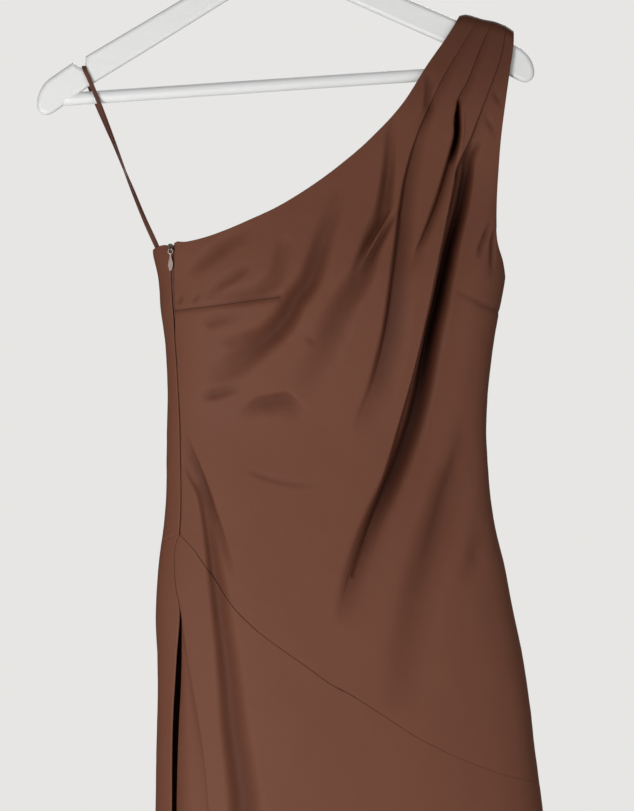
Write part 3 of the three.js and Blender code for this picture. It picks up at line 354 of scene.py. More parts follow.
# %% Folds of the front
FRONT_FOLDS = [
    # the three pleats and the valley beside them
    fold([0, 1.2, 1.8, 3, 5, 7, 7, 5, 0], [1, 1.3, 1.8, 3, 5], [6, 10, 18, 26, 28], PLEAT_1[:14]),
    fold([0, 1.2, 1.8, 4, 5, 3, 0], [1, 1.3, 1.8, 3], [6, 9, 12, 12], PLEAT_2[:12]),
    fold([0, 1.2, 1.8, 4, 9, 12, 12, 9, 6, 3, 0], [1, 1.3, 1.6, 2, 2.4, 3.5],
         [6, 12, 18, 22, 26, 26], PLEAT_3[:17], 0.28),
    fold([0, 7, 10, 10.5, 10, 8, 5.5, 2.5, 0], [7, 9.5, 8.5], [7, 8, 11, 15, 18], VALLEY[3:19], 2),
    fold([0, 1.5, 3, 4, 4, 4, 3, 2, 0], [9, 12], [20, 32, 42, 46], VALLEY[3:19]),
    # the gap under the second pleat and the lip of its layer
    fold([0, 9, 13, 12, 8, 0], [2.4, 3, 2.6], [4, 5, 6],
         [[168, -202], [167.4, -211], [167.5, -220], [167.4, -230], [166.3, -240], [164, -250],
          [160, -262]]),
    fold([0, -1.2, -1.6, -1.2, 0], [3, 3], [3, 4],
         [[172, -206], [172.6, -218], [172.4, -232], [170.4, -248], [166, -268]]),
    fold([0, 2, 2.6, 2, 0], [3, 3], [5, 6],
         [[163, -248.4], [158, -263.2], [151, -287.1], [146.2, -301.5], [137, -327.5],
          [130, -342]], 0.6),
    # troughs from the neckline
    fold([0, 3, 6, 7, 7, 6, 4, 0], [6, 9, 14, 22], [6, 9, 14, 20],
         [[112, -216.6], [108.2, -234], [106.9, -257.4], [105, -277.2], [102.5, -297.4],
          [99.4, -312.3], [91.8, -330.3], [81.6, -362.7], [64.8, -390], [49.5, -426.6],
          [26.1, -474.3]]),
    fold([0, 2.2, 3, 1.8, 0], [4, 6], [6, 9],
         [[140.4, -179.1], [141.7, -188.1], [141, -207], [139.5, -216], [129.6, -236.7]]),
    fold([0, 3, 6, 8, 8.5, 8, 6.5, 3.5, 0], [12, 15, 19], [11, 15, 18],
         [[63.9, -274.5], [57.6, -299.7], [48.6, -324.9], [42.8, -344.2], [34.7, -367.2],
          [22.1, -384.3], [14.1, -399.6], [3.6, -412.2], [-8.1, -422.1], [-20.7, -432.9],
          [-38, -446.6], [-60, -455]]),
    # the pinched ridge that crosses the neck trough
    fold([0, -2, -2.8, -2.2, 0], [4.5, 4.8], [4.5, 4.8],
         [[114.5, -298.8], [104.4, -312.3], [91.8, -333], [81.6, -351.9], [74.1, -366.8]]),
    fold([0, 2, 2.6, 2, 0], [6, 8], [3.2, 3.2],
         [[108.8, -301.5], [98.1, -317.7], [85.5, -339.3], [73.4, -369]]),
    fold([0, 2.2, 3, 2.2, 0], [3.2, 3.2], [6, 8],
         [[115.7, -298.8], [106.2, -314.1], [93.6, -336.6], [79.7, -360.9]]),
    # short creases of the bust beside the zip
    fold([0, 2, 2.4, 1.6, 0], [12, 14], [8, 9],
         [[-75.6, -361.8], [-59.4, -347.4], [-36.9, -330.3], [-14.4, -319.5]]),
    fold([0, 2, 2.8, 2.6, 1.8, 0], [8, 10], [13, 14],
         [[10.8, -325.8], [9.4, -338], [4.4, -360], [-8.5, -374.4], [-28.6, -380.2],
          [-49.5, -382.6]]),
    fold([0, 1.6, 2, 0], [7, 8], [7, 7],
         [[-58.7, -383], [-44.4, -370.1], [-28.5, -360], [-17.1, -350]]),
    fold([0, 1.2, 0], [3, 3], [4, 4], [[-85.9, -390.2], [-82.2, -385.1], [-79.5, -378.7]]),
    fold([0, 1.1, 0], [3, 3], [4, 4], [[-71.6, -388.8], [-67.2, -383], [-63, -375.8]]),
    fold([0, 1.2, 0], [4, 4], [5, 5], [[28.8, -418.5], [35.6, -421.6], [41.7, -426]]),
    fold([0, 1.8, 1.5, 0], [8, 9], [9, 10],
         [[-59.4, -408.6], [-54, -405], [-41.4, -400.5], [-22.5, -396]]),
    fold([0, 1.8, 1.8, 0], [8, 9], [9, 10],
         [[-45.9, -424.8], [-27.9, -420.3], [-8.1, -411.3]]),
    fold([0, 2.6, 2.2, 0], [7, 8], [8, 8],
         [[-63.9, -471.6], [-45.9, -467.6], [-26, -461]]),
    fold([0, 2, 3.2, 3.6, 3, 0], [17, 22], [3, 4],
         [[-28, -486], [-21.4, -481.2], [-15.7, -476.9], [-8.5, -473.4], [0.1, -472.4],
          [8.7, -470.4], [15.9, -471.2], [23, -476.9], [33.1, -483.4]], 1.2),
    fold([0, 0.7, 0.9, 0.7, 0], [3, 3.4], [6, 7],
         [[-23.4, -537.3], [-14.4, -540.9], [4.5, -547.2], [25.2, -550.8], [44.1, -550.8]]),
    # folds that run down from the zip
    fold([0, 2.4, 3.2, 2.8, 1.6, 0], [8, 10], [3, 4],
         [[-78.3, -504.9], [-68.8, -526.5], [-59.4, -549.9], [-50, -577.8], [-40.5, -606.6],
          [-31.5, -631.8]]),
    fold([0, 3, 4.6, 5.6, 6, 6.5, 7, 7], [3, 4.5, 7, 11, 18], [8, 11, 15, 21, 34],
         [[-79.2, -519.3], [-73.8, -540], [-63.9, -558.9], [-58.5, -585], [-53.5, -620.6],
          [-50.3, -644.4], [-44.8, -686.7], [-40.8, -721.8], [-36.2, -769.5], [-27, -844.2],
          [-16, -1014.3], [8.1, -1378]], 0.85),
    # the side and the skirt
    fold([0, 4, 5.5, 5, 3, 0], [20, 24], [26, 30],
         [[179.1, -474.3], [168.8, -527.4], [160.8, -546.3], [153, -575.1], [141.8, -612.9],
          [132.3, -645.3], [124.7, -688.5], [118.8, -727.2], [118.8, -758.7]]),
    fold([0, 1.6, 1.6, 0], [9, 9], [10, 10],
         [[176.1, -494.3], [166.8, -527.4], [156.8, -560], [141.8, -612.9], [130.3, -655]]),
    fold([0, 2, 0], [12, 12], [12, 12],
         [[193.1, -584.1], [183.6, -613.8], [173.7, -640.8]]),
    fold([0, 3, 6, 9], [40, 50], [40, 50], [[84, -860], [92, -1100], [104, -1378]]),
    fold([0, 3, 6, 8], [34, 44], [30, 36], [[176, -900], [188, -1120], [204, -1378]]),
    # creases at the armhole
    fold([0, 1.4, 0], [4, 4], [4, 4], [[198.5, -192.2], [203.4, -201.6], [208.8, -212]]),
    fold([0, 1.4, 0], [4, 4], [5, 5], [[190.5, -213.3], [197.1, -225.9], [203.4, -239.4]]),
    fold([0, 2, 2, 0], [4, 4], [4, 5],
         [[198.9, -312.3], [193.5, -325.8], [189, -337.5], [186.3, -348.3]]),
    fold([0, 1.7, 1.5, 0], [3, 4], [3, 4],
         [[203.4, -317.7], [199.8, -330.3], [198.9, -346.5], [198, -366.3]]),
    # the bust darts
    fold([0.9, 1.1, 1.1, 1.6], [4, 5], [4, 5],
         [[-86.9, -394.2], [-49.5, -389.7], [-15, -385], [8, -382]]),
    fold([0, 0.9, 1.2, 1], [4, 4], [4, 4],
         [[165.6, -373.5], [170.8, -378.9], [180.6, -383.8], [190.3, -388.6], [204, -394.5]]),
    # creases of the strip beside the zip
    fold([0.5, 0.8, 0], [3, 3], [3, 3], [[-93.2, -358.7], [-99.9, -368.1]]),
    fold([0.5, 0.7, 0], [2.5, 3], [2.5, 3], [[-91, -371.7], [-95.9, -379.5]]),
]
print(len(FRONT_FOLDS), "folds on the front")

# %% Folds of the back
BACK_FOLDS = [
    fold([1.3, 3, 4, 4, 2, 0], [2, 4, 10, 16], [12, 24, 30],
         [[190, -131], [166, -178], [141, -236], [118, -318], [104, -420], [84, -505]]),
    fold([1.3, 3, 5, 5, 3, 0], [2, 5, 12, 18], [8, 22, 34, 38],
         [[206, -136], [187, -206], [166, -286], [144, -390], [112, -505], [80, -620]]),
    fold([0, 3, 4, 3, 0], [26, 32], [26, 32],
         [[20, -345], [34, -440], [26, -540], [18, -640]]),
    fold([0, 3, 4, 5, 7], [24, 34, 44], [24, 34, 44],
         [[-46, -560], [-38, -760], [-24, -1050], [-6, -1378]]),
    fold([0, 3, 6, 9], [36, 46], [36, 46], [[98, -780], [104, -1060], [118, -1378]]),
    fold([0, 3, 6], [30, 36], [30, 36], [[188, -860], [206, -1378]]),
    # smaller creases like those of the front
    fold([0, 1.8, 2.2, 1.4, 0], [6, 8], [10, 14],
         [[60, -290], [48, -330], [30, -368], [4, -398], [-34, -420]]),
    fold([0, 1.6, 2, 1, 0], [4, 6], [8, 10],
         [[96, -262], [92, -300], [80, -338], [62, -372]]),
    fold([0, 1.6, 2.2, 1.6, 0], [4, 5], [12, 16],
         [[-40, -492], [-14, -480], [16, -478], [44, -488], [70, -502]]),
    fold([0, 1.4, 1.6, 0], [5, 6], [9, 12], [[-60, -455], [-30, -446], [0, -450], [24, -462]]),
    fold([0, 1.4, 1.8, 0], [6, 8], [10, 12], [[168, -452], [140, -470], [110, -474], [84, -466]]),
    fold([0, 1.6, 1.6, 0], [12, 14], [14, 18],
         [[168, -540], [158, -600], [142, -660], [130, -730]]),
    fold([0, 1.2, 1.4, 0], [4, 5], [6, 8], [[198, -330], [184, -352], [164, -372], [140, -384]]),
    fold([0.9, 1, 1.4], [4, 5], [4, 5], [[34, -660], [34, -560], [34, -500]]),
]
print(len(BACK_FOLDS), "folds on the back")

# %% [markdown]
# ## Soft unevenness
# Pressed satin is never quite flat between its creases. A net of random heights with a fixed seed,
# read smoothly, adds dents of a few tenths of a millimetre. Noise in the material would only shade
# them, while real dents also catch the light along the edges. The cloth inside a fold gets less
# light, so each point also keeps a painted shade by how deep it lies in the folds, and the satin's
# colour darkens by that. The top of the strap gets painted shade as well.

# %% Soft dents
NET = 96
NET_START = (40, 90)


def soft_dents(across, along, cell, seed):
    """Smooth random heights from -1 to 1 at the places across, along, in millimetres."""
    net = np.random.default_rng(seed).uniform(-1, 1, (NET, NET))
    u = across / cell + NET_START[0]
    v = along / cell + NET_START[1]
    i = np.floor(u).astype(int) % (NET - 1)
    j = np.floor(v).astype(int) % (NET - 1)
    a = ease_between(0, 1, u - np.floor(u))
    b = ease_between(0, 1, v - np.floor(v))
    return mix(mix(net[i, j], net[i + 1, j], a), mix(net[i, j + 1], net[i + 1, j + 1], a), b)


# %% Relief of the cloth
PLEAT_STACK = 1.6
PLEAT_STACK_REACH = 60
# painted shade at the top of the strap, and the drop over which it fades out
STRAP_SHADE = 0.9
STRAP_SHADE_REACH = 100
CALM_REACH = 30
WIDE_DENT = 0.4
WIDE_CELL = 23
SMALL_DENT = 0.12
SMALL_CELL = 9


def relief(folds, x, z, drop, seed):
    """How far the cloth stands out from 0 on the open cloth, and its painted shade there."""
    height = PLEAT_STACK * (1 - ease_between(0, PLEAT_STACK_REACH, drop))
    painted_shade = STRAP_SHADE * (1 - ease_between(0, STRAP_SHADE_REACH, drop))
    for one in folds:
        depth = fold_depth(one, x, z)
        widths = one["left"] + one["right"]
        height = height - depth
        # painted shade: a fold darkens the colour by its depth over its mean width
        painted_shade = painted_shade + one["shade"] * depth / (sum(widths) / len(widths)) ** 0.75
    calm = ease_between(0, CALM_REACH, drop)
    height = height + calm * WIDE_DENT * soft_dents(x, 0.7 * z, WIDE_CELL, seed)
    height = height + calm * SMALL_DENT * soft_dents(x + 0.4 * z, z, SMALL_CELL, seed + 1)
    return height, np.maximum(painted_shade, 0)


# %% [markdown]
# ## A panel of cloth
# Each panel is a closed thin shell. Its outer side is a fine grid that carries the folds, and its
# inner side is a grid with half as many rows and columns, because nobody sees folds there. A ring
# of points half way through the wall rounds the edge, as a turned edge is on the real dress.

# %% Build a closed shell from a grid of places
CLOTH_WALL = 1.1
RIM_BULGE = 0.3


def rim(grid):
    """Values round the border of a grid, the first corner not repeated."""
    return np.concatenate([grid[0], grid[1:, -1], grid[-1, -2::-1], grid[-2:0:-1, 0]])


def numbered(grid, start):
    rows, columns = grid.shape[:2]
    return start + np.arange(rows * columns).reshape(rows, columns)


def quads(numbers):
    """The four-cornered faces of a grid of numbered points."""
    corners = [numbers[:-1, :-1], numbers[1:, :-1], numbers[1:, 1:], numbers[:-1, 1:]]
    return np.stack(corners, axis=-1).reshape(-1, 4)


def add_object(name, mesh):
    piece = bpy.data.objects.new(name, mesh)
    scene.collection.objects.link(piece)
    return piece


def shell_mesh(name, outer, inner, chart, painted_shade=None):
    """A mesh from an outer grid of points in mm, an inner one and the outer grid's cloth chart.
    painted_shade says how much painted shade darkens the colour at each outer point."""
    coarse = inner[::2, ::2]
    outer_numbers = numbered(outer, 0)
    inner_numbers = numbered(coarse, outer_numbers.size)
    neighbours = np.concatenate([outer[1], outer[1:, -2], outer[-2, -2::-1], outer[-2:0:-1, 1]])
    ring = (rim(outer) + rim(inner)) / 2 + RIM_BULGE * unit(rim(outer) - neighbours)
    points = np.concatenate([outer.reshape(-1, 3), coarse.reshape(-1, 3), ring]) / 1000
    outside = rim(outer_numbers)
    between = outer_numbers.size + inner_numbers.size + np.arange(len(ring))
    faces = quads(outer_numbers).tolist() + quads(inner_numbers)[:, ::-1].tolist()
    faces += np.stack([outside, np.roll(outside, -1), np.roll(between, -1), between], axis=1).tolist()
    # two steps of the ring meet one step of the coarser inner rim
    a, b, c = between[::2], between[1::2], np.roll(between[::2], -1)
    p = rim(inner_numbers)
    q = np.roll(p, -1)
    faces += np.stack([a, b, p, b, q, p, b, c, q], axis=1).reshape(-1, 3).tolist()
    mesh = bpy.data.meshes.new(name)
    mesh.from_pydata(points.tolist(), [], faces)
    charts = np.concatenate([chart.reshape(-1, 2), chart[::2, ::2].reshape(-1, 2), rim(chart)])
    corners = np.empty(len(mesh.loops), int)
    mesh.loops.foreach_get("vertex_index", corners)
    mesh.uv_layers.new(name="cloth").data.foreach_set("uv", (charts[corners] / 1000).ravel())
    mesh.polygons.foreach_set("use_smooth", np.ones(len(mesh.polygons), bool))
    if painted_shade is not None:
        depths = np.zeros(len(points))
        depths[:outer_numbers.size] = painted_shade.ravel()
        mesh.attributes.new("painted_shade", "FLOAT", "POINT").data.foreach_set("value", depths)
    mesh.update()
    return mesh


# %% Turn a panel's places into its shell
SEAM_HALF_GAP = 0.1
# height, and how far the upper layer of a pleat is pulled over the lower one
KNIFE_PULL = [[-1400, 1.6], [-220, 1.6], [-150, 0.9], [-128, 0.6]]
KNIFE_FADE = 80
KNIFE_CENTRE = 0.9
KNIFE_REACH = 1.1
CHART_GIRTH = 360


def panel(name, place, folds, side, square_up, seed, setback=0.0, pleats=()):
    """A cloth panel: folds move its outer side inwards from the skin, and square_up turns the
    wall at seams. The layer left of each pleat line is pulled over the one on its right, down to
    the pleat's end height."""
    g, z, drop = place
    inward = inward_at(g, z, drop)
    square_up(inward)
    inward = unit(inward)
    outer = skin(g, z, drop)
    outer[..., 1] += side * SEAM_HALF_GAP
    height, painted_shade = relief(folds, outer[..., 0], outer[..., 2], drop, seed)
    outer = outer + inward * (setback - height)[..., None]
    inner = outer + inward * CLOTH_WALL
    for line, end in pleats:
        beside = outer[..., 0] - x_at(line, outer[..., 2])
        pull = look_up(KNIFE_PULL, outer[..., 2]) * ease_between(end, end + KNIFE_FADE, outer[..., 2])
        outer[..., 0] += pull * np.exp(-((beside + KNIFE_CENTRE) / KNIFE_REACH) ** 2)
    chart = np.stack([CHART_GIRTH * g, z + 0 * g], axis=-1)
    piece = add_object(name, shell_mesh(name, outer, inner, chart, painted_shade))
    print(name, len(piece.data.polygons), "faces")
    return piece


# %% [markdown]
# ## The front of the bodice
# On the real dress the front is one piece from the shoulder to the slanting hip seam, with three
# pleats that fan out of the strap. Rows run from the neckline or the zip to the armhole or the
# side seam, and columns follow the pleats, so each crisp fold lies along the grid and stays sharp.

# %% Places of the bodice rows
ROW_PACE = [[0, 0], [0.05, 0.006], [0.1, 0.022], [0.16, 0.06], [1, 1]]
NECKLINE_MEASURED = measured(NECKLINE)
ARMHOLE_MEASURED = measured(ARMHOLE)
ZIP_MEASURED = measured(ZIP_LINE)
BACK_NECKLINE_MEASURED = measured(BACK_NECKLINE)
BACK_NECKLINE_SHARE = 0.86


def point_along(line, share):
    return look_up(line, share, 1), look_up(line, share, 2)


def armhole_end(pace, side):
    x, z = point_along(ARMHOLE_MEASURED, pace)
    return girth_at(x, z, side), z


def bowed_strap(z, share, drop):
    """Heights with the strap's top seam a little bowed."""
    return z + look_up(STRAP_BOW, share) * (1 - ease_between(0, STRAP_BOW_DROP, drop))


def drop_below_strap(z, share, neckline):
    return np.maximum(mix(neckline[0][1], ARMHOLE[0][1], share) - z, 0)


def lower_ends(share, side):
    """Girth and height at both ends of the rows between the underarm and the hip seam."""
    zip_x, zip_z = point_along(ZIP_MEASURED, share)
    g_left = girth_at(zip_x - side * look_up(ZIP_HALF_GAPS, zip_z), zip_z, -1)
    return g_left, zip_z, np.full_like(share, side), mix(*SIDE_SEAM_ENDS, share)


def seam_bow(seam):
    """How far a hip seam lies above the straight row between its ends."""
    seam = np.asarray(seam, float)
    straight = mix(seam[0, 1], seam[-1, 1], seam[:, 0])
    return np.column_stack([seam[:, 0], seam[:, 1] - straight])


seam_x, seam_z = np.array(FRONT_HIP_SEAM).T
seam_girth = girth_at(seam_x, seam_z, -1)
seam_girth[-1] = -1
seam_share = (seam_girth - seam_girth[0]) / (-1 - seam_girth[0])
FRONT_SEAM_BOW = seam_bow(np.column_stack([seam_share, seam_z]))
BACK_SEAM_BOW = seam_bow(BACK_HIP_SEAM)

# %% Places of the front bodice
UPPER_ROWS = 124
LOWER_STEPS = np.concatenate([np.linspace(0, 0.985, 156), [0.9895, 0.9935, 0.9965, 0.9985, 1]])
COLUMN_RUNS = [92, 6, 38, 6, 34, 6, 22, 56]
KNIFE_HALF_WIDTH = 1.1
KNIFE_SHARE = 0.3
# columns left of the first pleat stand closer together toward it
FIRST_RUN_LEAN = 0.35
CROSSING_ROUNDS = 14


def front_bodice_places():
    upper = look_up(ROW_PACE, np.arange(UPPER_ROWS) / UPPER_ROWS)
    neck_x, neck_z = point_along(NECKLINE_MEASURED, upper)
    top = (girth_at(neck_x, neck_z, -1), neck_z, *armhole_end(upper, -1))
    low = lower_ends(LOWER_STEPS, -1)
    g_left, z_left, g_right, z_right = [np.concatenate(pair) for pair in zip(top, low)]
    bow = np.concatenate([0 * upper, LOWER_STEPS ** 2])

    def crossing(line):
        """Share of the way along each row at which it crosses a line."""
        share = np.full_like(z_left, 0.5)
        for _ in range(CROSSING_ROUNDS):
            z = mix(z_left, z_right, share) + bow * look_up(FRONT_SEAM_BOW, share)
            share = (girth_at(x_at(line, z), z, -1) - g_left) / (g_right - g_left)
        return share

    row_length = section(z_left, RIGHT) - section(z_left, LEFT)
    lines = [crossing(line) for line in (PLEAT_1, PLEAT_2, PLEAT_3, VALLEY)]
    knots = [0 * z_left]
    for k in range(3):
        half = np.minimum(KNIFE_HALF_WIDTH / row_length, KNIFE_SHARE * (lines[k + 1] - lines[k]))
        knots += [lines[k] - half, lines[k] + half]
    knots += [lines[3], 0 * z_left + 1]
    shares = [knots[0]]
    for k, run in enumerate(COLUMN_RUNS):
        steps = np.arange(1, run + 1) / run
        if k == 0:
            steps = steps + FIRST_RUN_LEAN * steps * (1 - steps)
        shares += [mix(knots[k], knots[k + 1], step) for step in steps]
    share = np.stack(shares, axis=1)
    z = z_left[:, None] + (z_right - z_left)[:, None] * share
    z = z + bow[:, None] * look_up(FRONT_SEAM_BOW, share)
    drop = drop_below_strap(z, share, NECKLINE)
    return mix(g_left[:, None], g_right[:, None], share), bowed_strap(z, share, drop), drop


def square_bodice(upper_rows):
    """What squares the wall at the neckline, at the hip seam and at the side seam."""
    def square_up(inward):
        inward[0] = (0, 0, -1)
        inward[-1, :, 2] = 0
        inward[upper_rows:, -1, 1] = 0
    return square_up


FRONT_SEED = 11
front = panel("front_bodice_cloth", front_bodice_places(), FRONT_FOLDS, -1,
              square_bodice(UPPER_ROWS), FRONT_SEED,
              pleats=((PLEAT_1, -500), (PLEAT_2, -372), (PLEAT_3, -650)))

# %% [markdown]
# ## The back of the bodice
# The back wraps round the left outline to the zip on the front, so its rows start at the zip, go
# round the left edge and end at the right side seam. A thin strip of it is all that the front
# view shows. The rest gets folds like those of the front.

# %% Places of the back bodice
BACK_UPPER_ROWS = 106
BACK_LOWER_ROWS = 90
BACK_COLUMNS = 152
STRIP_TOP_SHARE = 3 / 15
ZIP_TOP_X = ZIP_LINE[0][0] - look_up(ZIP_HALF_GAPS, ZIP_LINE[0][1])
ZIP_TOP_GIRTH = girth_at(ZIP_TOP_X, STRIP_TOP[-1][1], -1)
# share of the zip's line that lies above the strip's top
STRIP_END_SHARE = (ZIP_LINE[0][1] - STRIP_TOP[-1][1]) / (ZIP_LINE[0][1] - ZIP_LINE[-1][1])


def back_bodice_places():
    t = np.arange(BACK_UPPER_ROWS) / BACK_UPPER_ROWS
    pace_rows = ROW_PACE[:-1] + [[1 - STRIP_TOP_SHARE, BACK_NECKLINE_SHARE], [1, 1]]
    pace = look_up(pace_rows, t)
    neck_x, neck_z = point_along(BACK_NECKLINE_MEASURED, np.minimum(pace / BACK_NECKLINE_SHARE, 1))
    strip = np.clip((pace - BACK_NECKLINE_SHARE) / (1 - BACK_NECKLINE_SHARE), 0, 1)
    on_strip = pace >= BACK_NECKLINE_SHARE
    g_top = np.where(on_strip, strip * ZIP_TOP_GIRTH, girth_at(neck_x, neck_z, 1))
    z_top = np.where(on_strip, look_up(STRIP_TOP, strip), neck_z)
    steps = np.linspace(0, 1, BACK_LOWER_ROWS + 1)
    # the zip's end of each lower row starts at the strip's top, the seam's end at the underarm
    low = lower_ends(mix(STRIP_END_SHARE, 1, steps), 1)[:2] + lower_ends(steps, 1)[2:]
    top = (g_top, z_top, *armhole_end(pace, 1))
    g_left, z_left, g_right, z_right = [np.concatenate(pair)[:, None] for pair in zip(top, low)]
    down = np.concatenate([0 * t, steps])[:, None]
    share = (np.arange(BACK_COLUMNS + 1) / BACK_COLUMNS)[None, :]
    dip = np.concatenate([ease_between(0, 1, t), 1 - ease_between(0, 1, steps)])[:, None]
    lead = mix(share, 1 - (1 - share) ** 3, dip)
    z = mix(z_left, z_right, lead) + look_up(BACK_SEAM_BOW, share) * down ** 2
    drop = drop_below_strap(z, share, BACK_NECKLINE)
    return mix(g_left, g_right, share), bowed_strap(z, share, drop), drop


BACK_SEED = 23
back = panel("back_bodice_cloth", back_bodice_places(), BACK_FOLDS, 1,
             square_bodice(BACK_UPPER_ROWS), BACK_SEED)

# %% [markdown]
# ## The skirt
# Two panels hang from the hip seam to a level hem. The left seam below the zip stays closed for a
# hand's width and then opens into the slit, where an under-layer shows behind the front edge. The
# panels share the skin's formula with the bodice, so only their edges are new.

# %% Places of a skirt panel
HIP_SEAM_GAP = 0.25
SLIT_FRONT_MEASURED = measured(SLIT_FRONT_EDGE)
SLIT_BACK_MEASURED = measured(SLIT_BACK_EDGE)
SEAM_STEPS = [0, 0.0012, 0.003, 0.0055, 0.0085]
HEM_STEPS = [0.992, 0.9955, 0.998, 0.9992, 1]


def row_steps(rows):
    """Rows of a skirt panel, closer together at the hip seam and the hem."""
    return np.concatenate([SEAM_STEPS, np.linspace(0.012, 0.988, rows - 9), HEM_STEPS])


def skirt_places(t, share, side, slit_edge, bow):
    slit_x, slit_z = point_along(slit_edge, t)
    g_left = girth_at(slit_x, slit_z, -1)[:, None]
    z_right = mix(SIDE_SEAM_ENDS[1], HEM_HEIGHT, t)[:, None]
    down = t[:, None]
    z = mix(slit_z[:, None], z_right, share) + look_up(bow, share) * (1 - down) ** 2
    z = z - HIP_SEAM_GAP * (1 - down)
    return mix(g_left, side, share), z, np.full_like(z, BODY_ROUND_DROP)


def square_skirt(inward):
    inward[0, :, 2] = 0
    inward[:, -1, 1] = 0


# %% Make the skirt panels
FRONT_SKIRT_ROWS = 176
BACK_SKIRT_ROWS = 130
front_share = np.linspace(0, 1, 201)[None, :]
back_share = np.linspace(0, 1, 151)[None, :]
skirt_front = panel("front_skirt_cloth",
                    skirt_places(row_steps(FRONT_SKIRT_ROWS), front_share, -1,
                                 SLIT_FRONT_MEASURED, FRONT_SEAM_BOW),
                    FRONT_FOLDS, -1, square_skirt, FRONT_SEED)
skirt_back = panel("back_skirt_cloth",
                   skirt_places(row_steps(BACK_SKIRT_ROWS), back_share, 1,
                                SLIT_BACK_MEASURED, BACK_SEAM_BOW),
                   BACK_FOLDS, 1, square_skirt, BACK_SEED)

# %% Make the under-layer of the slit
UNDERLAP_ROWS = 120
UNDERLAP_COLUMNS = 24
UNDERLAP_TOP = 1 / 12
UNDERLAP_WIDTH = 4 / 26
UNDERLAP_SETBACK = 3.2


def underlap_places():
    t = mix(UNDERLAP_TOP, 1, np.linspace(0, 1, UNDERLAP_ROWS + 1))
    share = np.concatenate([[0, 0], np.linspace(0, UNDERLAP_WIDTH, UNDERLAP_COLUMNS)[1:]])[None, :]
    g, z, drop = skirt_places(t, share, -1, SLIT_FRONT_MEASURED, FRONT_SEAM_BOW)
    g[:, 0] = girth_at(x_at(UNDERLAP_EDGE, z[:, 0]), z[:, 0], -1)
    g[:, 1] = mix(g[:, 0], g[:, 2], 0.5)
    return g, z, drop


# the under-layer dips beside the front edge that lies over it, and painted shadow darkens it there
EDGE_DIP = fold([0, 1.6, 1.6, 1.6, 0], [3, 3], [2, 2], SLIT_FRONT_EDGE[4:9], 1.6)
underlap = panel("slit_underlap_cloth", underlap_places(), FRONT_FOLDS + [EDGE_DIP], -1,
                 lambda inward: None, FRONT_SEED, setback=UNDERLAP_SETBACK)

# %% [markdown]
# ## The zip
# A closed coil zip fills the gap between the front and the back strip. Its tape is a narrow ribbon
# and its coil is one small loop after another, so Geometry Nodes set one loop at each step of the
# zip's line. Modelling hundreds of loops by hand would hide the rule that they follow.

# %% Lines of the zip
# height, and how far the coil's line lies behind the skin
COIL_DEPTHS = [[-600, 2.4], [-420, 2.4], [-384, 1.4], [-365, 0.9], [-330, 0.7]]
COIL_TOP = -335.2
COIL_BOTTOM = -593
COIL_STEPS = 120
STRIP_ACROSS = np.linspace(-0.5, 0.5, 5)
CHART_LENGTH = 300


def zip_line_points(extra_depth):
    """Points down the zip in mm, that far behind the coil's own depth."""
    z = np.linspace(COIL_TOP, COIL_BOTTOM, COIL_STEPS + 1)
    g = girth_at(x_at(ZIP_LINE, z), z, -1)
    drop = np.full_like(z, BODY_ROUND_DROP)
    inward = unit(inward_at(g, z, drop))
    depth = look_up(COIL_DEPTHS, z) + extra_depth
    return skin(g, z, drop) + inward * depth[:, None], inward


def strip_shell(name, line, wide, thick, width, thickness):
    """A closed flat strip along a line, with its width and thickness directions, all in mm."""
    middle = line - thick * thickness / 2
    outer = np.stack([middle + wide * (width * s) for s in STRIP_ACROSS], axis=1)
    inner = outer + thick[:, None] * thickness
    along = np.linspace(0, CHART_LENGTH, len(line))
    chart = np.stack(np.meshgrid(STRIP_ACROSS * width, along), axis=-1)
    return add_object(name, shell_mesh(name, outer, inner, chart))


# %% Make the zip tape
TAPE_DEPTH = 0.65
TAPE_WIDTH = 2.5
TAPE_THICKNESS = 0.4
tape_line, tape_inward = zip_line_points(TAPE_DEPTH)
tape_wide = unit(np.cross(tape_inward, [0, 0, 1.0]))
tape = strip_shell("zip_tape", tape_line, tape_wide, tape_inward, TAPE_WIDTH, TAPE_THICKNESS)
print("tape", len(tape.data.polygons), "faces")

# %% [markdown]
# ## Geometry Nodes that set a part at each step of a path
# One tree serves the zip's coil and the hem's stitches. It resamples a path at an even spacing,
# turns a small capsule along the path and sets one at each point. The sizes are named inputs, so
# the same tree makes a coil when the capsule lies across and a stitch when it lies along.

# %% Build the tree
def tree_node(tree, kind, inputs=None, **settings):
    """A node with its settings and inputs; an input that is a socket gets a link."""
    made = tree.nodes.new(kind)
    for name, value in settings.items():
        setattr(made, name, value)
    for name, value in (inputs or {}).items():
        if isinstance(value, bpy.types.NodeSocket):
            tree.links.new(value, made.inputs[name])
        else:
            made.inputs[name].default_value = value
    return made


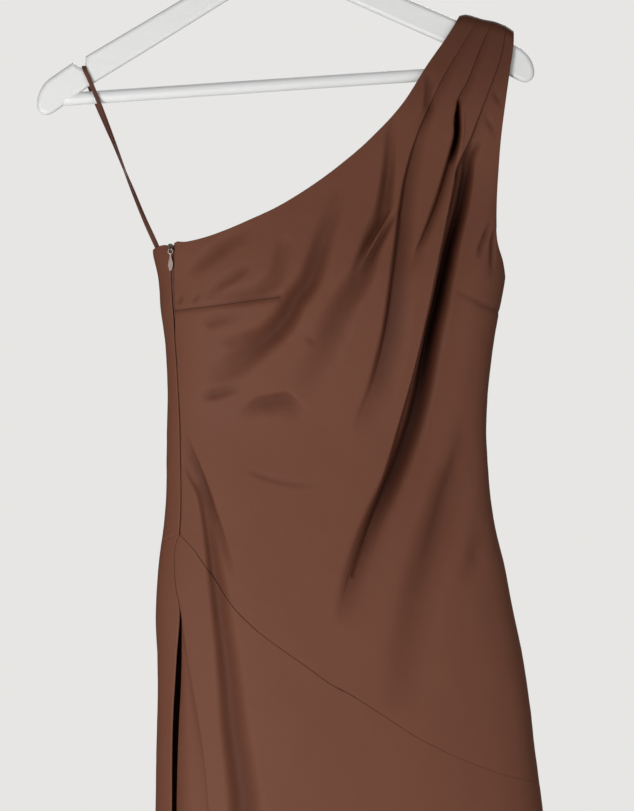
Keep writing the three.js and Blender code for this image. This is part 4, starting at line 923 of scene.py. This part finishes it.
def path_parts_tree(name, material):
    tree = bpy.data.node_groups.new(name, "GeometryNodeTree")
    face = tree.interface
    face.new_socket("Path", in_out="INPUT", socket_type="NodeSocketGeometry")
    for label in ("Spacing", "Length", "Radius", "Turn"):
        face.new_socket(label, in_out="INPUT", socket_type="NodeSocketFloat")
    face.new_socket("Parts", in_out="OUTPUT", socket_type="NodeSocketGeometry")
    start = tree.nodes.new("NodeGroupInput").outputs

    def step(kind, inputs=None, **settings):
        return tree_node(tree, kind, inputs, **settings).outputs[0]

    evened = step("GeometryNodeResampleCurve",
                  {"Curve": start["Path"], "Length": start["Spacing"]}, mode="LENGTH")
    sphere = step("GeometryNodeMeshUVSphere", {"Segments": 6, "Rings": 5, "Radius": start["Radius"]})
    half = step("ShaderNodeMath", {0: start["Length"], 1: 0.5}, operation="MULTIPLY")
    ratio = step("ShaderNodeMath", {0: half, 1: start["Radius"]}, operation="DIVIDE")
    size = step("ShaderNodeCombineXYZ", {"X": 1.0, "Y": 1.0, "Z": ratio})
    capsule = step("GeometryNodeTransform", {"Geometry": sphere, "Scale": size})
    smooth = step("GeometryNodeSetShadeSmooth", {"Geometry": capsule})
    along = step("FunctionNodeAlignRotationToVector",
                 {"Vector": step("GeometryNodeInputTangent")}, axis="Z")
    turn = step("FunctionNodeAxisAngleToRotation", {"Axis": (0, 1, 0), "Angle": start["Turn"]})
    turned = step("FunctionNodeRotateRotation", {"Rotation": along, "Rotate By": turn},
                  rotation_space="GLOBAL")
    placed = step("GeometryNodeInstanceOnPoints",
                  {"Points": evened, "Instance": smooth, "Rotation": turned})
    real = step("GeometryNodeRealizeInstances", {"Geometry": placed})
    finished = step("GeometryNodeSetMaterial", {"Geometry": real, "Material": material})
    tree.links.new(finished, tree.nodes.new("NodeGroupOutput").inputs["Parts"])
    return tree


# %% Curves and what they become
def curve_object(name, lines, closed=False, **settings):
    """A curve object through lines of points in metres."""
    curve = bpy.data.curves.new(name, "CURVE")
    for label, value in settings.items():
        setattr(curve, label, value)
    for points in lines:
        spline = curve.splines.new("POLY")
        spline.points.add(len(points) - 1)
        spline.use_cyclic_u = closed
        for point, place in zip(spline.points, points):
            point.co = (*place, 1)
    return add_object(name, curve)


def made_mesh(source, name):
    """The evaluated mesh of an object with modifiers, as a plain object; the source is removed."""
    graph = bpy.context.evaluated_depsgraph_get()
    shape = bpy.data.meshes.new_from_object(source.evaluated_get(graph))
    shape.name = name
    bpy.data.objects.remove(source)
    return add_object(name, shape)


def parts_along(name, points, material, spacing, length, radius, turn):
    """Parts set at even steps of a path in metres, as one plain mesh."""
    path = curve_object(name + "_path", [points], dimensions="3D")
    tree = path_parts_tree(name + "_tree", material)
    modifier = path.modifiers.new("parts", "NODES")
    modifier.node_group = tree
    sizes = {"Spacing": spacing, "Length": length, "Radius": radius, "Turn": turn}
    for item in tree.interface.items_tree:
        if item.name in sizes:
            modifier[item.identifier] = sizes[item.name]
    piece = made_mesh(path, name)
    print(name, len(piece.data.polygons), "faces")
    return piece


# %% [markdown]
# ## Shader maths
# A material is a small sum: a colour, a weave, a little unevenness. Written as nodes it is hard to
# read, so one class wraps an output socket and lets plus and times make the Math nodes.

# %% A number inside a material
class Shade:
    """A socket of a material that can be added, taken away, multiplied and divided."""

    def __init__(self, tree, socket):
        self.tree = tree
        self.socket = socket

    def operate(self, operation, *others, swapped=False):
        terms = [term.socket if isinstance(term, Shade) else term for term in (self, *others)]
        if swapped:
            terms.reverse()
        made = tree_node(self.tree, "ShaderNodeMath", dict(enumerate(terms)), operation=operation)
        return Shade(self.tree, made.outputs[0])


def operator(operation, swapped):
    return lambda self, other: self.operate(operation, other, swapped=swapped)


for sign, operation in (("add", "ADD"), ("sub", "SUBTRACT"), ("mul", "MULTIPLY"),
                        ("truediv", "DIVIDE")):
    setattr(Shade, f"__{sign}__", operator(operation, False))
    setattr(Shade, f"__r{sign}__", operator(operation, True))


# %% A finish
class Finish:
    """A material with one Principled shader and a few ways to vary it."""

    def __init__(self, name, **constants):
        self.material = bpy.data.materials.new(name)
        self.material.use_nodes = True
        self.tree = self.material.node_tree
        self.shader = self.tree.nodes["Principled BSDF"]
        for label, value in constants.items():
            self.shader.inputs[label.replace("_", " ")].default_value = value

    def shade(self, kind, output, inputs=None, **settings):
        made = tree_node(self.tree, kind, inputs, **settings)
        return Shade(self.tree, made.outputs[output])

    def coordinates(self, kind):
        return tree_node(self.tree, "ShaderNodeTexCoord").outputs[kind]

    def noise(self, kind, scale, detail, turn=(0, 0, 0)):
        """Noise over Object or UV coordinates that are scaled and turned."""
        place = tree_node(self.tree, "ShaderNodeMapping",
                          {"Vector": self.coordinates(kind), "Scale": scale, "Rotation": turn})
        return self.shade("ShaderNodeTexNoise", "Fac",
                          {"Vector": place.outputs[0], "Scale": 1.0, "Detail": detail})

    def vary(self, label, value):
        self.tree.links.new(value.socket, self.shader.inputs[label])

    def paint(self, colour, light):
        """Base colour times a Shade around 1."""
        self.vary("Base Color", self.shade("ShaderNodeVectorMath", 0, {0: colour, 1: light.socket},
                                           operation="MULTIPLY"))

    def bump(self, height, distance):
        self.vary("Normal", self.shade("ShaderNodeBump", 0, {"Height": height.socket,
                                                             "Distance": distance}))


# %% [markdown]
# ## Satin
# The dress is a matte satin: long warp threads lie on top, so it shines softly and its weave is
# finer than a pixel. Fine streaks along the threads, a faint mottling and a grain in the
# roughness give it that look close by. A dart is sewn from the inside and shows as a thin line,
# which the material draws as a groove with painted shade along the dart's own points. The colour
# also darkens by the painted shade that the cloth keeps in its folds and at the strap's top.

# %% Make the satin
SATIN_BROWN = (0.136, 0.0505, 0.0295)
RIBBON_BROWN = (0.105, 0.042, 0.028)
THREADS = (2600, 420, 1)
CROSS_THREADS = (900, 3200, 1)
MOTTLE = (26, 18, 1)
SLUBS = (220, 30, 1)
THREAD_RELIEF = 0.00003
GROOVE_HALF_WIDTH = 0.0007
# how fast red, green and blue darken under the painted shade, as in a fold where light bounces from
# cloth to cloth
PAINTED_SHADE_RATES = [0.56, 0.68, 0.76]


def seam_groove(finish, line):
    """A Shade that is 1 along a line of x and z in mm and falls to 0 beside it."""
    x, z = [finish.shade("ShaderNodeSeparateXYZ", axis, {"Vector": finish.coordinates("Object")})
            for axis in "XZ"]
    groove = None
    for (x0, z0), (x1, z1) in zip(line[:-1], line[1:]):
        run_x, run_z = (x1 - x0) / 1000, (z1 - z0) / 1000
        away_x, away_z = x - x0 / 1000, z - z0 / 1000
        along = (away_x * run_x + away_z * run_z) / (run_x ** 2 + run_z ** 2)
        along = along.operate("MAXIMUM", 0).operate("MINIMUM", 1)
        off_x, off_z = away_x - along * run_x, away_z - along * run_z
        distance = (off_x * off_x + off_z * off_z).operate("SQRT")
        near = (1 - distance / GROOVE_HALF_WIDTH).operate("MAXIMUM", 0)
        groove = near if groove is None else groove.operate("MAXIMUM", near)
    return groove


def satin(name, colour, roughness, seams=()):
    finish = Finish(name, Roughness=roughness, Specular_IOR_Level=0.12)
    threads = finish.noise("UV", THREADS, 2.0)
    cross = finish.noise("UV", CROSS_THREADS, 1.0)
    mottle = finish.noise("UV", MOTTLE, 3.0)
    slub = finish.noise("UV", SLUBS, 2.0)
    light = 0.9 + 0.1 * threads + 0.07 * mottle + 0.05 * slub - 0.02 * cross
    height = threads + 0.35 * cross
    for line in seams:
        groove = seam_groove(finish, line)
        # painted shade: the colour darkens along the dart's groove, beside the groove's bump
        light = light * (1 - 0.5 * groove)
        height = height - 9 * groove
    # painted shade: the colour darkens by the shade that folds and the strap's top keep at each point
    painted_shade = finish.shade("ShaderNodeAttribute", "Fac", attribute_name="painted_shade")
    channels = {axis: (light * (-fall * painted_shade).operate("EXPONENT")).socket
                for axis, fall in zip("XYZ", PAINTED_SHADE_RATES)}
    finish.paint(colour, finish.shade("ShaderNodeCombineXYZ", 0, channels))
    finish.vary("Roughness", (roughness - 0.05) + 0.06 * threads + 0.05 * mottle)
    finish.bump(height, THREAD_RELIEF)
    return finish.material


LEFT_DART = [[-87.5, -394.3], [-49.5, -389.7], [-15, -385], [8.5, -382]]
dress_satin = satin("dress_satin", SATIN_BROWN, 0.6)
bodice_satin = satin("bodice_satin", SATIN_BROWN, 0.6, seams=(LEFT_DART,))
ribbon_satin = satin("ribbon_satin", RIBBON_BROWN, 0.4)
for cloth_piece in (back, skirt_front, skirt_back, underlap):
    cloth_piece.data.materials.append(dress_satin)
front.data.materials.append(bodice_satin)

# %% [markdown]
# ## Nylon and metal of the zip
# The coil is dyed nylon, smooth and a little glossy. The slider and its pull are cast metal with a
# pale, slightly worn finish, so their roughness varies and their colour leans to the dress's
# brown.

# %% Make the zip's finishes
def nylon(name, colour):
    finish = Finish(name, Roughness=0.42, Specular_IOR_Level=0.5)
    spots = finish.noise("Object", (400, 400, 400), 2.0)
    finish.paint(colour, 0.85 + 0.3 * spots)
    finish.vary("Roughness", 0.36 + 0.14 * spots)
    finish.bump(spots, 0.00002)
    return finish.material


def cast_metal(name, colour, roughness):
    finish = Finish(name, Metallic=0.9, Roughness=roughness)
    spots = finish.noise("Object", (300, 300, 300), 3.0)
    wear = finish.noise("Object", (90, 90, 90), 2.0)
    finish.paint(colour, 0.86 + 0.2 * spots + 0.08 * wear)
    finish.vary("Roughness", (roughness - 0.08) + 0.16 * wear)
    finish.bump(spots, 0.00001)
    return finish.material


coil_nylon = nylon("coil_nylon", (0.15, 0.07, 0.05))
tape_nylon = nylon("tape_nylon", (0.12, 0.052, 0.036))
pull_metal = cast_metal("pull_metal", (0.44, 0.345, 0.305), 0.36)
slider_metal = cast_metal("slider_metal", (0.11, 0.085, 0.075), 0.42)
tape.data.materials.append(tape_nylon)

# %% Set the coil
COIL_SPACING = 0.00085
COIL_LENGTH = 0.0017
COIL_RADIUS = 0.0003
coil_line, _ = zip_line_points(0.0)
coil = parts_along("zip_coil", coil_line / 1000, coil_nylon, COIL_SPACING, COIL_LENGTH,
                   COIL_RADIUS, math.radians(90))

# %% [markdown]
# ## Slider and pull
# The slider is a small shield with a bridge, and the pull is a flat tab with a ring at its top and
# a drop-shaped grip. Flat curves with a bevelled edge give such stamped shapes cleanly, with a
# hole where an inner curve lies.

# %% A stamped plate from its outline
BEVEL_STEPS = 2
SHARP_ANGLE = math.radians(35)


def stamped(name, outlines, centre, thickness, edge):
    """A plate in the XZ plane from outlines in mm, the first the outside and the rest its holes."""
    lines = [[(x / 1000, z / 1000, 0) for x, z in outline] for outline in outlines]
    flat = curve_object(name + "_flat", lines, closed=True, dimensions="2D", fill_mode="BOTH",
                        extrude=(thickness / 2 - edge) / 1000, bevel_depth=edge / 1000,
                        bevel_resolution=BEVEL_STEPS, offset=-edge / 1000)
    piece = made_mesh(flat, name)
    upright = Matrix.Rotation(math.pi / 2, 4, "X")
    piece.data.transform(Matrix.Translation(Vector(centre) / 1000) @ upright)
    piece.data.polygons.foreach_set("use_smooth", [True] * len(piece.data.polygons))
    piece.data.set_sharp_from_angle(angle=SHARP_ANGLE)
    return piece


def mirrored(half):
    """A closed outline from its right half."""
    return half + [[-x, z] for x, z in reversed(half)]


def arc(centre_x, centre_z, radius, start, end, steps):
    angles = np.radians(np.linspace(start, end, steps + 1))
    return [[centre_x + radius * math.cos(a), centre_z + radius * math.sin(a)] for a in angles]


def joined(name, pieces):
    """One object from several meshes."""
    points, faces = [], []
    for piece in pieces:
        start = len(points)
        points += [tuple(vertex.co) for vertex in piece.data.vertices]
        faces += [[start + v for v in polygon.vertices] for polygon in piece.data.polygons]
        bpy.data.objects.remove(piece)
    mesh = bpy.data.meshes.new(name)
    mesh.from_pydata(points, [], faces)
    mesh.polygons.foreach_set("use_smooth", [True] * len(faces))
    mesh.set_sharp_from_angle(angle=math.radians(38))
    return add_object(name, mesh)


# %% Tubes
def tube_mesh(points, radii, sides):
    """A closed round tube through points in mm."""
    points = np.asarray(points, float)
    radii = np.broadcast_to(np.asarray(radii, float), (len(points),))
    along = unit(np.gradient(points, axis=0))
    side = np.cross(along, [0, 1.0, 0])
    weak = np.linalg.norm(side, axis=1) < 1e-3
    side[weak] = np.cross(along[weak], [1.0, 0, 0])
    side = unit(side)
    up = np.cross(side, along)
    angles = np.linspace(0, 2 * np.pi, sides, endpoint=False)[:, None]
    ring = np.cos(angles) * side[:, None] + np.sin(angles) * up[:, None]
    rings = points[:, None] + ring * radii[:, None, None]
    vertices = np.concatenate([rings.reshape(-1, 3), points[:1], points[-1:]]) / 1000
    numbers = numbered(rings, 0)
    after = np.roll(numbers, -1, axis=1)
    walls = np.stack([numbers[:-1], after[:-1], after[1:], numbers[1:]], axis=-1)
    start, end = np.full(sides, numbers.size), np.full(sides, numbers.size + 1)
    caps = np.stack([start, after[0], numbers[0], end, numbers[-1], after[-1]], axis=-1)
    mesh = bpy.data.meshes.new("tube")
    mesh.from_pydata(vertices.tolist(), [],
                     walls.reshape(-1, 4).tolist() + caps.reshape(-1, 3).tolist())
    mesh.polygons.foreach_set("use_smooth", [True] * len(mesh.polygons))
    return mesh


# %% Make the slider
SLIDER_X = -90.4
SLIDER_Z = -338.2
SLIDER_WIDTH = 4.6
SLIDER_DEPTH = 2.6
SKIN_OVERLAP = 0.1
PLATE_THICKNESS = 0.9
PLATE_OFFSET = 0.85
PLATE_EDGE = 0.3
NECK_THICKNESS = 1.4
PIVOT_RISE = -0.4
PIVOT_OFFSET = 1
BRIDGE_WIRE = 0.5
# the bridge's wire, as y and z from the pivot
BRIDGE = [[1.4, 2], [-0.3, 1.9], [-1.15, 1.45], [-1.4, 0.3], [-1.4, -0.4], [-1.1, -1.45],
          [-0.3, -1.9], [1.4, -2]]
SHIELD = mirrored([[0.6, 4.5], [1.5, 4.3], [2.1, 3.6], [2.3, 2.4], [2.1, 0.4], [1.75, -1.8],
                   [1.6, -3.2], [1.2, -3.7]])
NECK = [[-0.9, 1.2], [0.9, 1.2], [1.3, 4.1], [-1.3, 4.1]]
seat_girth = girth_at(SLIDER_X + SLIDER_WIDTH / 2, SLIDER_Z, -1)
body_y = skin(seat_girth, SLIDER_Z, BODY_ROUND_DROP)[1] + SKIN_OVERLAP - SLIDER_DEPTH / 2
pivot = np.array([SLIDER_X, body_y - SLIDER_DEPTH / 2 - PIVOT_OFFSET, SLIDER_Z + PIVOT_RISE])
print("pull's pivot", np.round(pivot, 2))
front_plate, back_plate = [stamped("plate", [SHIELD], (SLIDER_X, body_y + y, SLIDER_Z),
                                   PLATE_THICKNESS, PLATE_EDGE)
                           for y in (-PLATE_OFFSET, PLATE_OFFSET)]
neck = stamped("slider_neck", [NECK], (SLIDER_X, body_y, SLIDER_Z), NECK_THICKNESS, 0.1)
bridge = add_object("bridge", tube_mesh([pivot + [0, y, z] for y, z in BRIDGE], BRIDGE_WIRE, 8))
slider = joined("slider_body", [front_plate, back_plate, neck, bridge])
slider.data.materials.append(slider_metal)

# %% Make the pull
RING_RADIUS = 2.6
RING_WIRE = 1.0
PULL_GRIP = 1.2
PULL_LENGTH = 20
PULL_THICKNESS = 1.0
PULL_EDGE = 0.3
NECK_HALF_WIDTH = 0.7
# share of the way down the flank, and its half width
FLANK = [[0, 0.7], [0.18, 0.75], [0.34, 1.35], [0.52, 2], [0.68, 2.2], [0.84, 1.95], [1, 1.2]]
ring_z = RING_WIRE / 2 - RING_RADIUS
neck_z = ring_z - RING_RADIUS
grip_z = PULL_GRIP + 0.5 - PULL_LENGTH
ring_start = math.degrees(math.acos(NECK_HALF_WIDTH / RING_RADIUS))
left_flank = [[-float(look_up(FLANK, s)), mix(neck_z, grip_z, s)] for s in np.linspace(0.08, 0.97, 10)]
outside = arc(0, ring_z, RING_RADIUS, -ring_start, 180 + ring_start, 28)
outside += left_flank
outside += arc(0, grip_z, PULL_GRIP, 180, 360, 14)
outside += [[-x, z] for x, z in reversed(left_flank)]
eye = arc(0, ring_z, RING_RADIUS - RING_WIRE, 0, 342, 19)
pull = stamped("pull_tab_metal", [outside, eye], pivot, PULL_THICKNESS, PULL_EDGE)
pull.data.materials.append(pull_metal)
print("pull", len(pull.data.polygons), "faces")

# %% [markdown]
# ## The hanging loop
# A narrow satin ribbon is sewn inside the left top corner and goes over the hanger's notch and
# back. It turns edge-on half way, which no flat strip would do, so each point of its line has a
# turn of its own.

# %% Make the loop
LOOP_LINE = [
    [-96.4, -6, -352], [-100.8, -5.4, -340.5], [-114, -5, -311], [-124.2, -6.6, -285],
    [-131.4, -7.6, -267.5], [-141.4, -8.4, -241], [-148, -8.4, -224.3], [-157.8, -8.4, -200],
    [-164.2, -8.3, -184.5], [-167.2, -8.2, -178.4], [-168.7, -7.2, -174.6], [-169, -4.6, -173.1],
    [-169, 0, -172.8], [-169, 4.6, -173.1], [-169, 7.2, -174.6], [-168.4, 8.2, -178.4],
    [-166.2, 8.4, -186], [-160.6, 8.4, -200], [-149.4, 8.4, -227], [-140.6, 7, -248],
    [-126.4, 5, -284.2], [-115, 3, -311], [-101.4, -0.6, -340.5], [-97.4, -0.6, -352],
]
LOOP_TURNS = [10, 15, 60, 85, 60, 20, 0, 0, -20, -60, -85, -60, -15, -10]
LOOP_STEPS = 160
LOOP_WIDTH = 3.4
LOOP_THICKNESS = 0.7


def turned_about(vectors, axes, degrees):
    angle = np.radians(degrees)[:, None]
    return (vectors * np.cos(angle) + np.cross(axes, vectors) * np.sin(angle)
            + axes * np.sum(axes * vectors, axis=1, keepdims=True) * (1 - np.cos(angle)))


def through(points, steps):
    """Even points on a smooth line through the given ones, in mm."""
    rows = measured(points)
    at = np.linspace(0, 1, steps + 1)
    return np.stack([look_up(rows, at, axis) for axis in (1, 2, 3)], axis=1)


loop_line = through(LOOP_LINE, LOOP_STEPS)
loop_along = unit(np.gradient(loop_line, axis=0))
loop_side = unit(np.array([1.0, 0, 0]) - loop_along * loop_along[:, :1])
loop_turns = spread(LOOP_TURNS, np.linspace(0, 1, LOOP_STEPS + 1))
loop_wide = turned_about(loop_side, loop_along, loop_turns)
loop_thick = np.cross(loop_along, loop_wide)
loop = strip_shell("loop_ribbon", loop_line, loop_wide, loop_thick, LOOP_WIDTH, LOOP_THICKNESS)
loop.data.materials.append(ribbon_satin)
loop_length = float(np.linalg.norm(np.diff(loop_line, axis=0), axis=1).sum())
print("loop's length", round(loop_length), "mm")

# %% [markdown]
# ## The hanger
# The hanger is cut from a flat board with rounded edges, a notch on each arm, a round bar below
# and a wire hook. The board starts as its outline, gets its thickness and then a bevel, the way a
# router rounds the real one. It hangs a little askew, so all three parts share one turn.

# %% Outline of the board
HANGER_TILT = -3.9
ARM_THICKNESS = 12
APEX_HEIGHT = -62.5
ARM_SLOPE = 0.504
BAR_RADIUS = 5.85
BAR_HEIGHT = -189.6
BAR_HALF_LENGTH = 203
EDGE_ROUNDING = 3.4
hanger_turn = Matrix.Rotation(math.radians(HANGER_TILT), 4, "Y")


def arm_top(x):
    return APEX_HEIGHT - x * ARM_SLOPE


shoulder = [[8, arm_top(9.1)], [30, arm_top(30)], [100, arm_top(100)], [178.3, arm_top(178.3)]]
notch = [[178.8, -158], [179.6, -161.6], [181.2, -162.4], [183.4, -161.8], [186.5, -160.2]]
tip = smooth_line([[190, -157], [206.3, -166.6], [216, -173.2], [222.6, -182.5], [225, -192.5],
                   [223.2, -199.3], [217, -202.4], [210.5, -200.2], [203.3, -196]]).tolist()
under = [[188, -185.5], [169.5, -174.8], [120, -149], [50.9, -112.3], [38, -105.5],
         [26, -100.5], [10, -95.5]]

# %% Make the board
arms = stamped("hanger_board", [mirrored(shoulder + notch + tip + under)], (0, 0, 0),
               ARM_THICKNESS, EDGE_ROUNDING)
arms.data.transform(hanger_turn)
print("board", len(arms.data.polygons), "faces")

# %% Make the bar and the hook
HOOK_WIRE = 1.9
HOOK_RADIUS = 22.9
BAR_SWELL = 0.02
BAR_SWELL_PITCH = 17
bar_ends = BAR_HALF_LENGTH - np.array([0, 0.4])
bar_x = np.concatenate([-bar_ends, np.linspace(-BAR_HALF_LENGTH + 1.2, BAR_HALF_LENGTH - 1.2, 41),
                        bar_ends[::-1]])
bar_radii = BAR_RADIUS - BAR_SWELL * np.sin(bar_x / BAR_SWELL_PITCH) ** 2
bar_radii[[0, -1]] = BAR_RADIUS - 1.0
bar_radii[[1, -2]] = BAR_RADIUS - 0.3
bar_line = np.column_stack([bar_x, 0 * bar_x, 0 * bar_x + BAR_HEIGHT])
bar = add_object("hanger_round_bar", tube_mesh(bar_line, bar_radii, 48))
bar.data.transform(hanger_turn)

hook_angles = np.radians(np.linspace(200, -35, 48))
hook_points = np.column_stack([HOOK_RADIUS * np.cos(hook_angles), 0 * hook_angles,
                               HOOK_WIRE - HOOK_RADIUS + HOOK_RADIUS * np.sin(hook_angles)])
shank = through([hook_points[-2], hook_points[-1], [8, 0, -44], [1.4, 0, -51], [0, 0, -58],
                 [0, 0, -66.8]], 30)[8:]
hook_line = np.concatenate([hook_points, shank])
hook_radii = np.full(len(hook_line), HOOK_WIRE)
hook_radii[:3] = [1.2, 1.65, 1.85]
hook = add_object("hanger_wire_hook", tube_mesh(hook_line, hook_radii, 16))
hook.data.transform(hanger_turn)

# %% [markdown]
# ## Lacquered wood and wire
# The board is painted white with a satin lacquer. A faint grain lifts through the paint. The hook
# is plated wire, nearly a mirror with fine drawing marks.

# %% Make the hanger's finishes
def lacquer(name, colour):
    finish = Finish(name, Roughness=0.38, Coat_Roughness=0.22, Specular_IOR_Level=0.4)
    grain = finish.noise("Object", (28, 220, 260), 3.0, turn=(0, math.radians(27), 0))
    fine = finish.noise("Object", (500, 500, 500), 2.0)
    finish.paint(colour, 0.97 + 0.05 * grain)
    finish.vary("Roughness", 0.34 + 0.1 * grain)
    finish.bump(grain + 0.3 * fine, 0.00003)
    return finish.material


white_lacquer = lacquer("white_lacquer", (0.75, 0.755, 0.745))
plated_wire = cast_metal("plated_wire", (0.72, 0.73, 0.74), 0.2)
arms.data.materials.append(white_lacquer)
bar.data.materials.append(white_lacquer)
hook.data.materials.append(plated_wire)

# %% [markdown]
# ## Hem stitches
# The hem is turned up and blind-stitched, so only tiny dips of thread show on the outside. The
# same tree that set the coil sets them along a line above the hem.

# %% Sew the hem
HEM_RISE = 22.0
STITCH_LINE = HEM_HEIGHT + HEM_RISE
STITCH_SPACING = 0.0062
STITCH_LENGTH = 0.0016
STITCH_RADIUS = 0.00022
LINE_POINTS = 260
END_GIRTH = 0.995
stitch_thread = nylon("stitch_thread", (0.12, 0.048, 0.032))


def hem_line(folds, side, g_start, seed):
    """A line along the skirt's face above the hem, in metres."""
    g = np.linspace(g_start, side * END_GIRTH, LINE_POINTS)
    z = np.full_like(g, STITCH_LINE)
    drop = np.full_like(g, BODY_ROUND_DROP)
    place = skin(g, z, drop)
    place[:, 1] += side * SEAM_HALF_GAP
    height, _ = relief(folds, place[:, 0], place[:, 2], drop, seed)
    return (place - unit(inward_at(g, z, drop)) * height[:, None]) / 1000


def hem_stitches(name, line):
    return parts_along(name, line, stitch_thread, STITCH_SPACING, STITCH_LENGTH, STITCH_RADIUS, 0.0)


# both lines start a little away from the slit's edges
front_start = girth_at(-12, STITCH_LINE, -1)
back_start = girth_at(-94, STITCH_LINE, -1) + 0.02
front_stitches = hem_stitches("front_hem_stitches", hem_line(FRONT_FOLDS, -1, front_start, FRONT_SEED))
back_stitches = hem_stitches("back_hem_stitches", hem_line(BACK_FOLDS, 1, back_start, BACK_SEED))

# %% [markdown]
# ## Light, floor and background
# The photograph has a pale plain background and soft light that comes mostly from the left, where
# a lamp stands low in front of the dress. A large weak one from the right opens the shadows, a
# small one from above lifts the strap, and one behind keeps the back readable. The background
# colour is set for the camera alone, so it doesn't flood the folds with light.

# %% Light the dress
MIDDLE = (0.05, 0, -0.55)


def soft_light(name, place, size, power):
    data = bpy.data.lights.new(name, "AREA")
    data.shape = "DISK"
    data.size = size
    data.energy = power
    lamp = add_object(name, data)
    lamp.location = place
    lamp.rotation_euler = (Vector(MIDDLE) - Vector(place)).to_track_quat("-Z", "Y").to_euler()
    lamp.visible_camera = False


soft_light("key", (-0.85, -1.6, -0.95), 0.9, 28)
soft_light("fill", (2.2, -2.8, -0.2), 2.6, 30)
soft_light("above", (0, -0.6, 1.6), 1.2, 3)
soft_light("behind", (0.9, 2.7, 1.7), 2.2, 60)

# %% Set the background
BACKGROUND = (0.799, 0.791, 0.776, 1)
AMBIENT = (0.16, 0.16, 0.163, 1)
world = bpy.data.worlds.new("studio")
scene.world = world
world.use_nodes = True
world_tree = world.node_tree
ambient = world_tree.nodes["Background"]
ambient.inputs["Color"].default_value = AMBIENT
seen = tree_node(world_tree, "ShaderNodeBackground", {"Color": BACKGROUND})
ray = tree_node(world_tree, "ShaderNodeLightPath")
chosen = tree_node(world_tree, "ShaderNodeMixShader",
                   {0: ray.outputs["Is Camera Ray"], 1: ambient.outputs[0], 2: seen.outputs[0]})
world_tree.links.new(chosen.outputs[0], world_tree.nodes["World Output"].inputs["Surface"])
scene.view_settings.view_transform = "Standard"

# %% Lay the floor
FLOOR_HEIGHT = -1.6
FLOOR_RADIUS = 2.4
FLOOR_SIDES = 96
floor_angles = np.linspace(0, 2 * np.pi, FLOOR_SIDES, endpoint=False)
floor_mesh = bpy.data.meshes.new("floor")
floor_mesh.from_pydata([(FLOOR_RADIUS * math.cos(a), FLOOR_RADIUS * math.sin(a), FLOOR_HEIGHT)
                        for a in floor_angles], [], [list(range(FLOOR_SIDES))])
floor = add_object("floor", floor_mesh)
floor_finish = Finish("floor_paint", Roughness=0.8)
floor_finish.paint((0.72, 0.715, 0.7), 0.98 + 0.04 * floor_finish.noise("Object", (3, 3, 3), 3.0))
floor.data.materials.append(floor_finish.material)

# %% [markdown]
# ## Put each piece on its body
# Each piece rides on a body of the CAD and stands for the solids that it covers, which are hidden.
# The cloth area of each panel is printed.

# %% Ride and replace
RIDES = [
    (front, "front_bodice", "dress_cloth"), (back, "back_bodice", "dress_cloth"),
    (skirt_front, "front_skirt", "dress_cloth"), (skirt_back, "back_skirt", "dress_cloth"),
    (underlap, "slit_underlap", "dress_cloth"), (tape, "zip_chain", "zip_nylon"),
    (coil, "zip_chain", "zip_nylon"), (slider, "zip_slider", "zip_metal"),
    (loop, "hanger_loop", "ribbon_satin"), (arms, "hanger_arms", "hanger_paint"),
    (bar, "hanger_bar", "hanger_paint"), (hook, "hanger_hook", "hook_wire"),
]
for piece, node, slot in RIDES:
    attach(piece, "dress")
    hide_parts(node)
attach(pull, "pull_tab")
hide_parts("zip_pull")
for stitches in (front_stitches, back_stitches):
    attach(stitches, "dress")

def cloth_area(piece):
    """Half the surface of a closed shell, in square metres."""
    return sum(polygon.area for polygon in piece.data.polygons) / 2


for piece in (front, back, skirt_front, skirt_back, underlap, tape, loop):
    print(piece.name, "cloth area", round(cloth_area(piece), 5))
